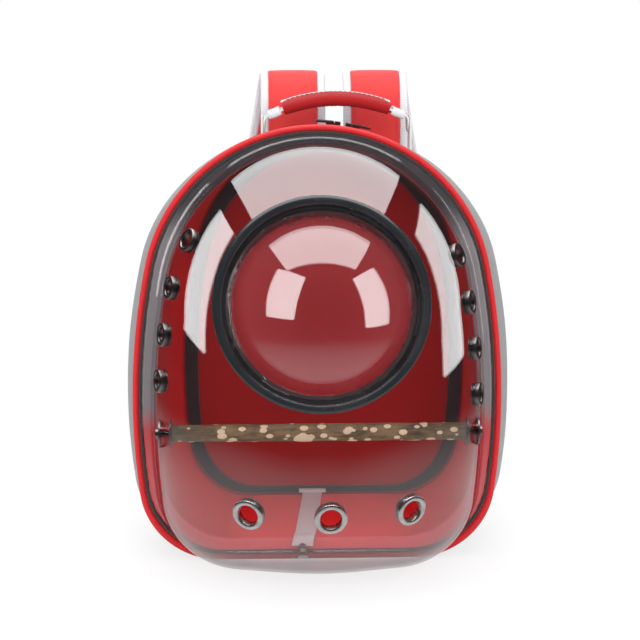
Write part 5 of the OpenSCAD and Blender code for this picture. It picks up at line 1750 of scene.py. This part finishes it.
@dataclass
class Studio:
    """Camera, soft lamps, pale floor and white surroundings."""

    target: tuple[float, float, float] = (0.0, -0.0915, 0.210)
    far: float = 1.55
    azimuth: float = -2.0
    elevation: float = 13.0
    lens: float = 94.0
    shift: tuple[float, float] = (0.0036, 0.0375)
    floor_half: float = 1.5
    floor_levels: tuple[float, ...] = (1.0, 0.72, 0.06)
    world_mirror: float = 0.05
    world_fill: float = 0.32
    boxes: tuple[SoftBox, ...] = (
        SoftBox("dome_left_card", -45.5, 24.5, 1.2, (0.757, 1.04), 11.9, True, ("window_dome",)),
        SoftBox("dome_right_card", 62.5, 16.5, 1.2, (0.72, 1.145), 12.4, True, ("window_dome",)),
        SoftBox("left_card", -86.5, 21, 1.2, (0.576, 0.921), 8.9, True, ("clear_front",)),
        SoftBox("right_card", 97.5, 15, 1.2, (0.63, 0.97), 8.7, True, ("clear_front",)),
        SoftBox("top_card", 180, 83.7, 1.14, (1.8, 1.51), 33.8, True),
        SoftBox("front_light", 5, 25, 1.6, (1.6, 1.2), 18.6),
        SoftBox("top_light", 0, 80, 1.3, (1.4, 1.0), 10.6),
        SoftBox("left_light", -70, 20, 1.3, (1.0, 1.0), 9.5),
        SoftBox("right_light", 75, 20, 1.3, (1.0, 1.0), 7.0),
        SoftBox("back_light", 180, 30, 1.3, (1.2, 1.0), 9.5))

    def toward(self, azimuth: float, elevation: float, far: float) -> Array:
        """A place at a bearing from the target; 0 degrees is straight ahead of the clear front."""
        a, e = math.radians(azimuth), math.radians(elevation)
        ahead = np.array([math.sin(a) * math.cos(e), -math.cos(a) * math.cos(e), math.sin(e)])
        return np.array(self.target) + far * ahead

    def aim(self, obj: bpy.types.Object, place: Array) -> None:
        """Puts a lamp or the camera in a place, looking at the target."""
        axes = Placing.facing(place, place - np.array(self.target)).axes
        obj.location, obj.rotation_euler = place, mathutils.Matrix(axes.tolist()).to_euler("XYZ")

    def camera(self) -> None:
        """The photograph's viewpoint."""
        data = bpy.data.cameras.new("camera")
        data.lens, data.sensor_width, data.sensor_fit = self.lens, 36.0, "HORIZONTAL"
        data.shift_x, data.shift_y = self.shift
        data.clip_start, data.clip_end = 0.05, 20.0
        obj = bpy.data.objects.new("camera", data)
        bpy.context.scene.collection.objects.link(obj)
        self.aim(obj, self.toward(self.azimuth, self.elevation, self.far))
        bpy.context.scene.camera = obj

    def lamps(self) -> None:
        """Cards that the clear front mirrors, and plain lights that they don't show."""
        for box in self.boxes:
            data = bpy.data.lights.new(box.name, "AREA")
            data.shape, (data.size, data.size_y) = "RECTANGLE", box.size
            data.energy = box.watts
            obj = bpy.data.objects.new(box.name, data)
            bpy.context.scene.collection.objects.link(obj)
            self.aim(obj, self.toward(box.azimuth, box.elevation, box.far))
            obj.visible_camera, obj.visible_diffuse, obj.visible_glossy = False, not box.card, box.card
            if box.shown_on:
                receivers = bpy.data.collections.new(box.name + "_receivers")
                for name in box.shown_on:
                    receivers.objects.link(bpy.data.objects[name])
                obj.light_linking.receiver_collection = receivers

    def floor(self) -> None:
        """Pale floor that is white to the camera and keeps a soft shadow near the carrier."""
        mesh = bpy.data.meshes.new("floor")
        corners = [(x * self.floor_half, y * self.floor_half, 0) for x, y in ((-1, -1), (1, -1), (1, 1), (-1, 1))]
        mesh.from_pydata(corners, [], [(0, 1, 2, 3)])
        obj = bpy.data.objects.new("floor", mesh)
        bpy.context.scene.collection.objects.link(obj)
        g = Graph("pale_floor")
        x, y, _ = g.split(g.coords(False))

        def oval(rx: float, ry: float, lo: float, hi: float) -> Sock:
            """Rises from 0 inside an ellipse about the carrier to 1 outside it."""
            return (((x / rx) ** 2.0) + ((y / ry) ** 2.0)).math("POWER", 0.5).between(lo, hi)

        camera, mirror = g.rays()
        bright, near_by, dim = (g.shader("Emission", Color=WHITE, Strength=level) for level in self.floor_levels)
        white = g.blend(mirror, bright, g.blend(oval(0.75, 0.85, 0.35, 1.0), near_by, dim))
        pale = g.shader("BsdfDiffuse", Color=rgba((0.88, 0.88, 0.88)))
        share = camera.math("MAXIMUM", mirror) * (1 - oval(0.34, 0.27, 0.75, 1.35)).scaled(1.0, 0.72)
        obj.data.materials.append(g.finish(g.blend(share, pale, white)))

    def world(self) -> None:
        """White to the camera, dim to mirrors, and a soft fill for the rest."""
        world = bpy.data.worlds.new("white_room")
        bpy.context.scene.world = world
        g = Graph("white_room", world)
        camera, mirror = g.rays()
        level = mirror * self.world_mirror + (1 - mirror) * self.world_fill
        light = g.shader("Background", Color=WHITE, Strength=camera + (1 - camera) * level)
        g.node("ShaderNodeOutputWorld", {}, {"Surface": light})

    def build(self) -> None:
        """Sets up everything but the camera."""
        bpy.context.scene.view_settings.view_transform = "Standard"
        self.lamps()
        self.floor()
        self.world()


def main() -> None:
    """Loads the frame, builds every sub-assembly on it and sets up the studio."""
    logging.basicConfig(level=logging.INFO, format="%(message)s")
    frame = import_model()
    studio = Studio()
    studio.camera()
    shop = Workshop(MeshMaker(), Dresser(frame), Outline())
    window = Placing.facing(WINDOW_MIDDLE, WINDOW_NORMAL)
    front = FrontShell(shop, ShellForm(shop.outline), window)
    for part in (FabricBody(shop), Rim(shop), front, BubbleWindow(shop, window), Handle(shop), ShoulderStraps(shop),
                 Tether(shop), studio):
        part.build()


if __name__ == "__main__":
    main()
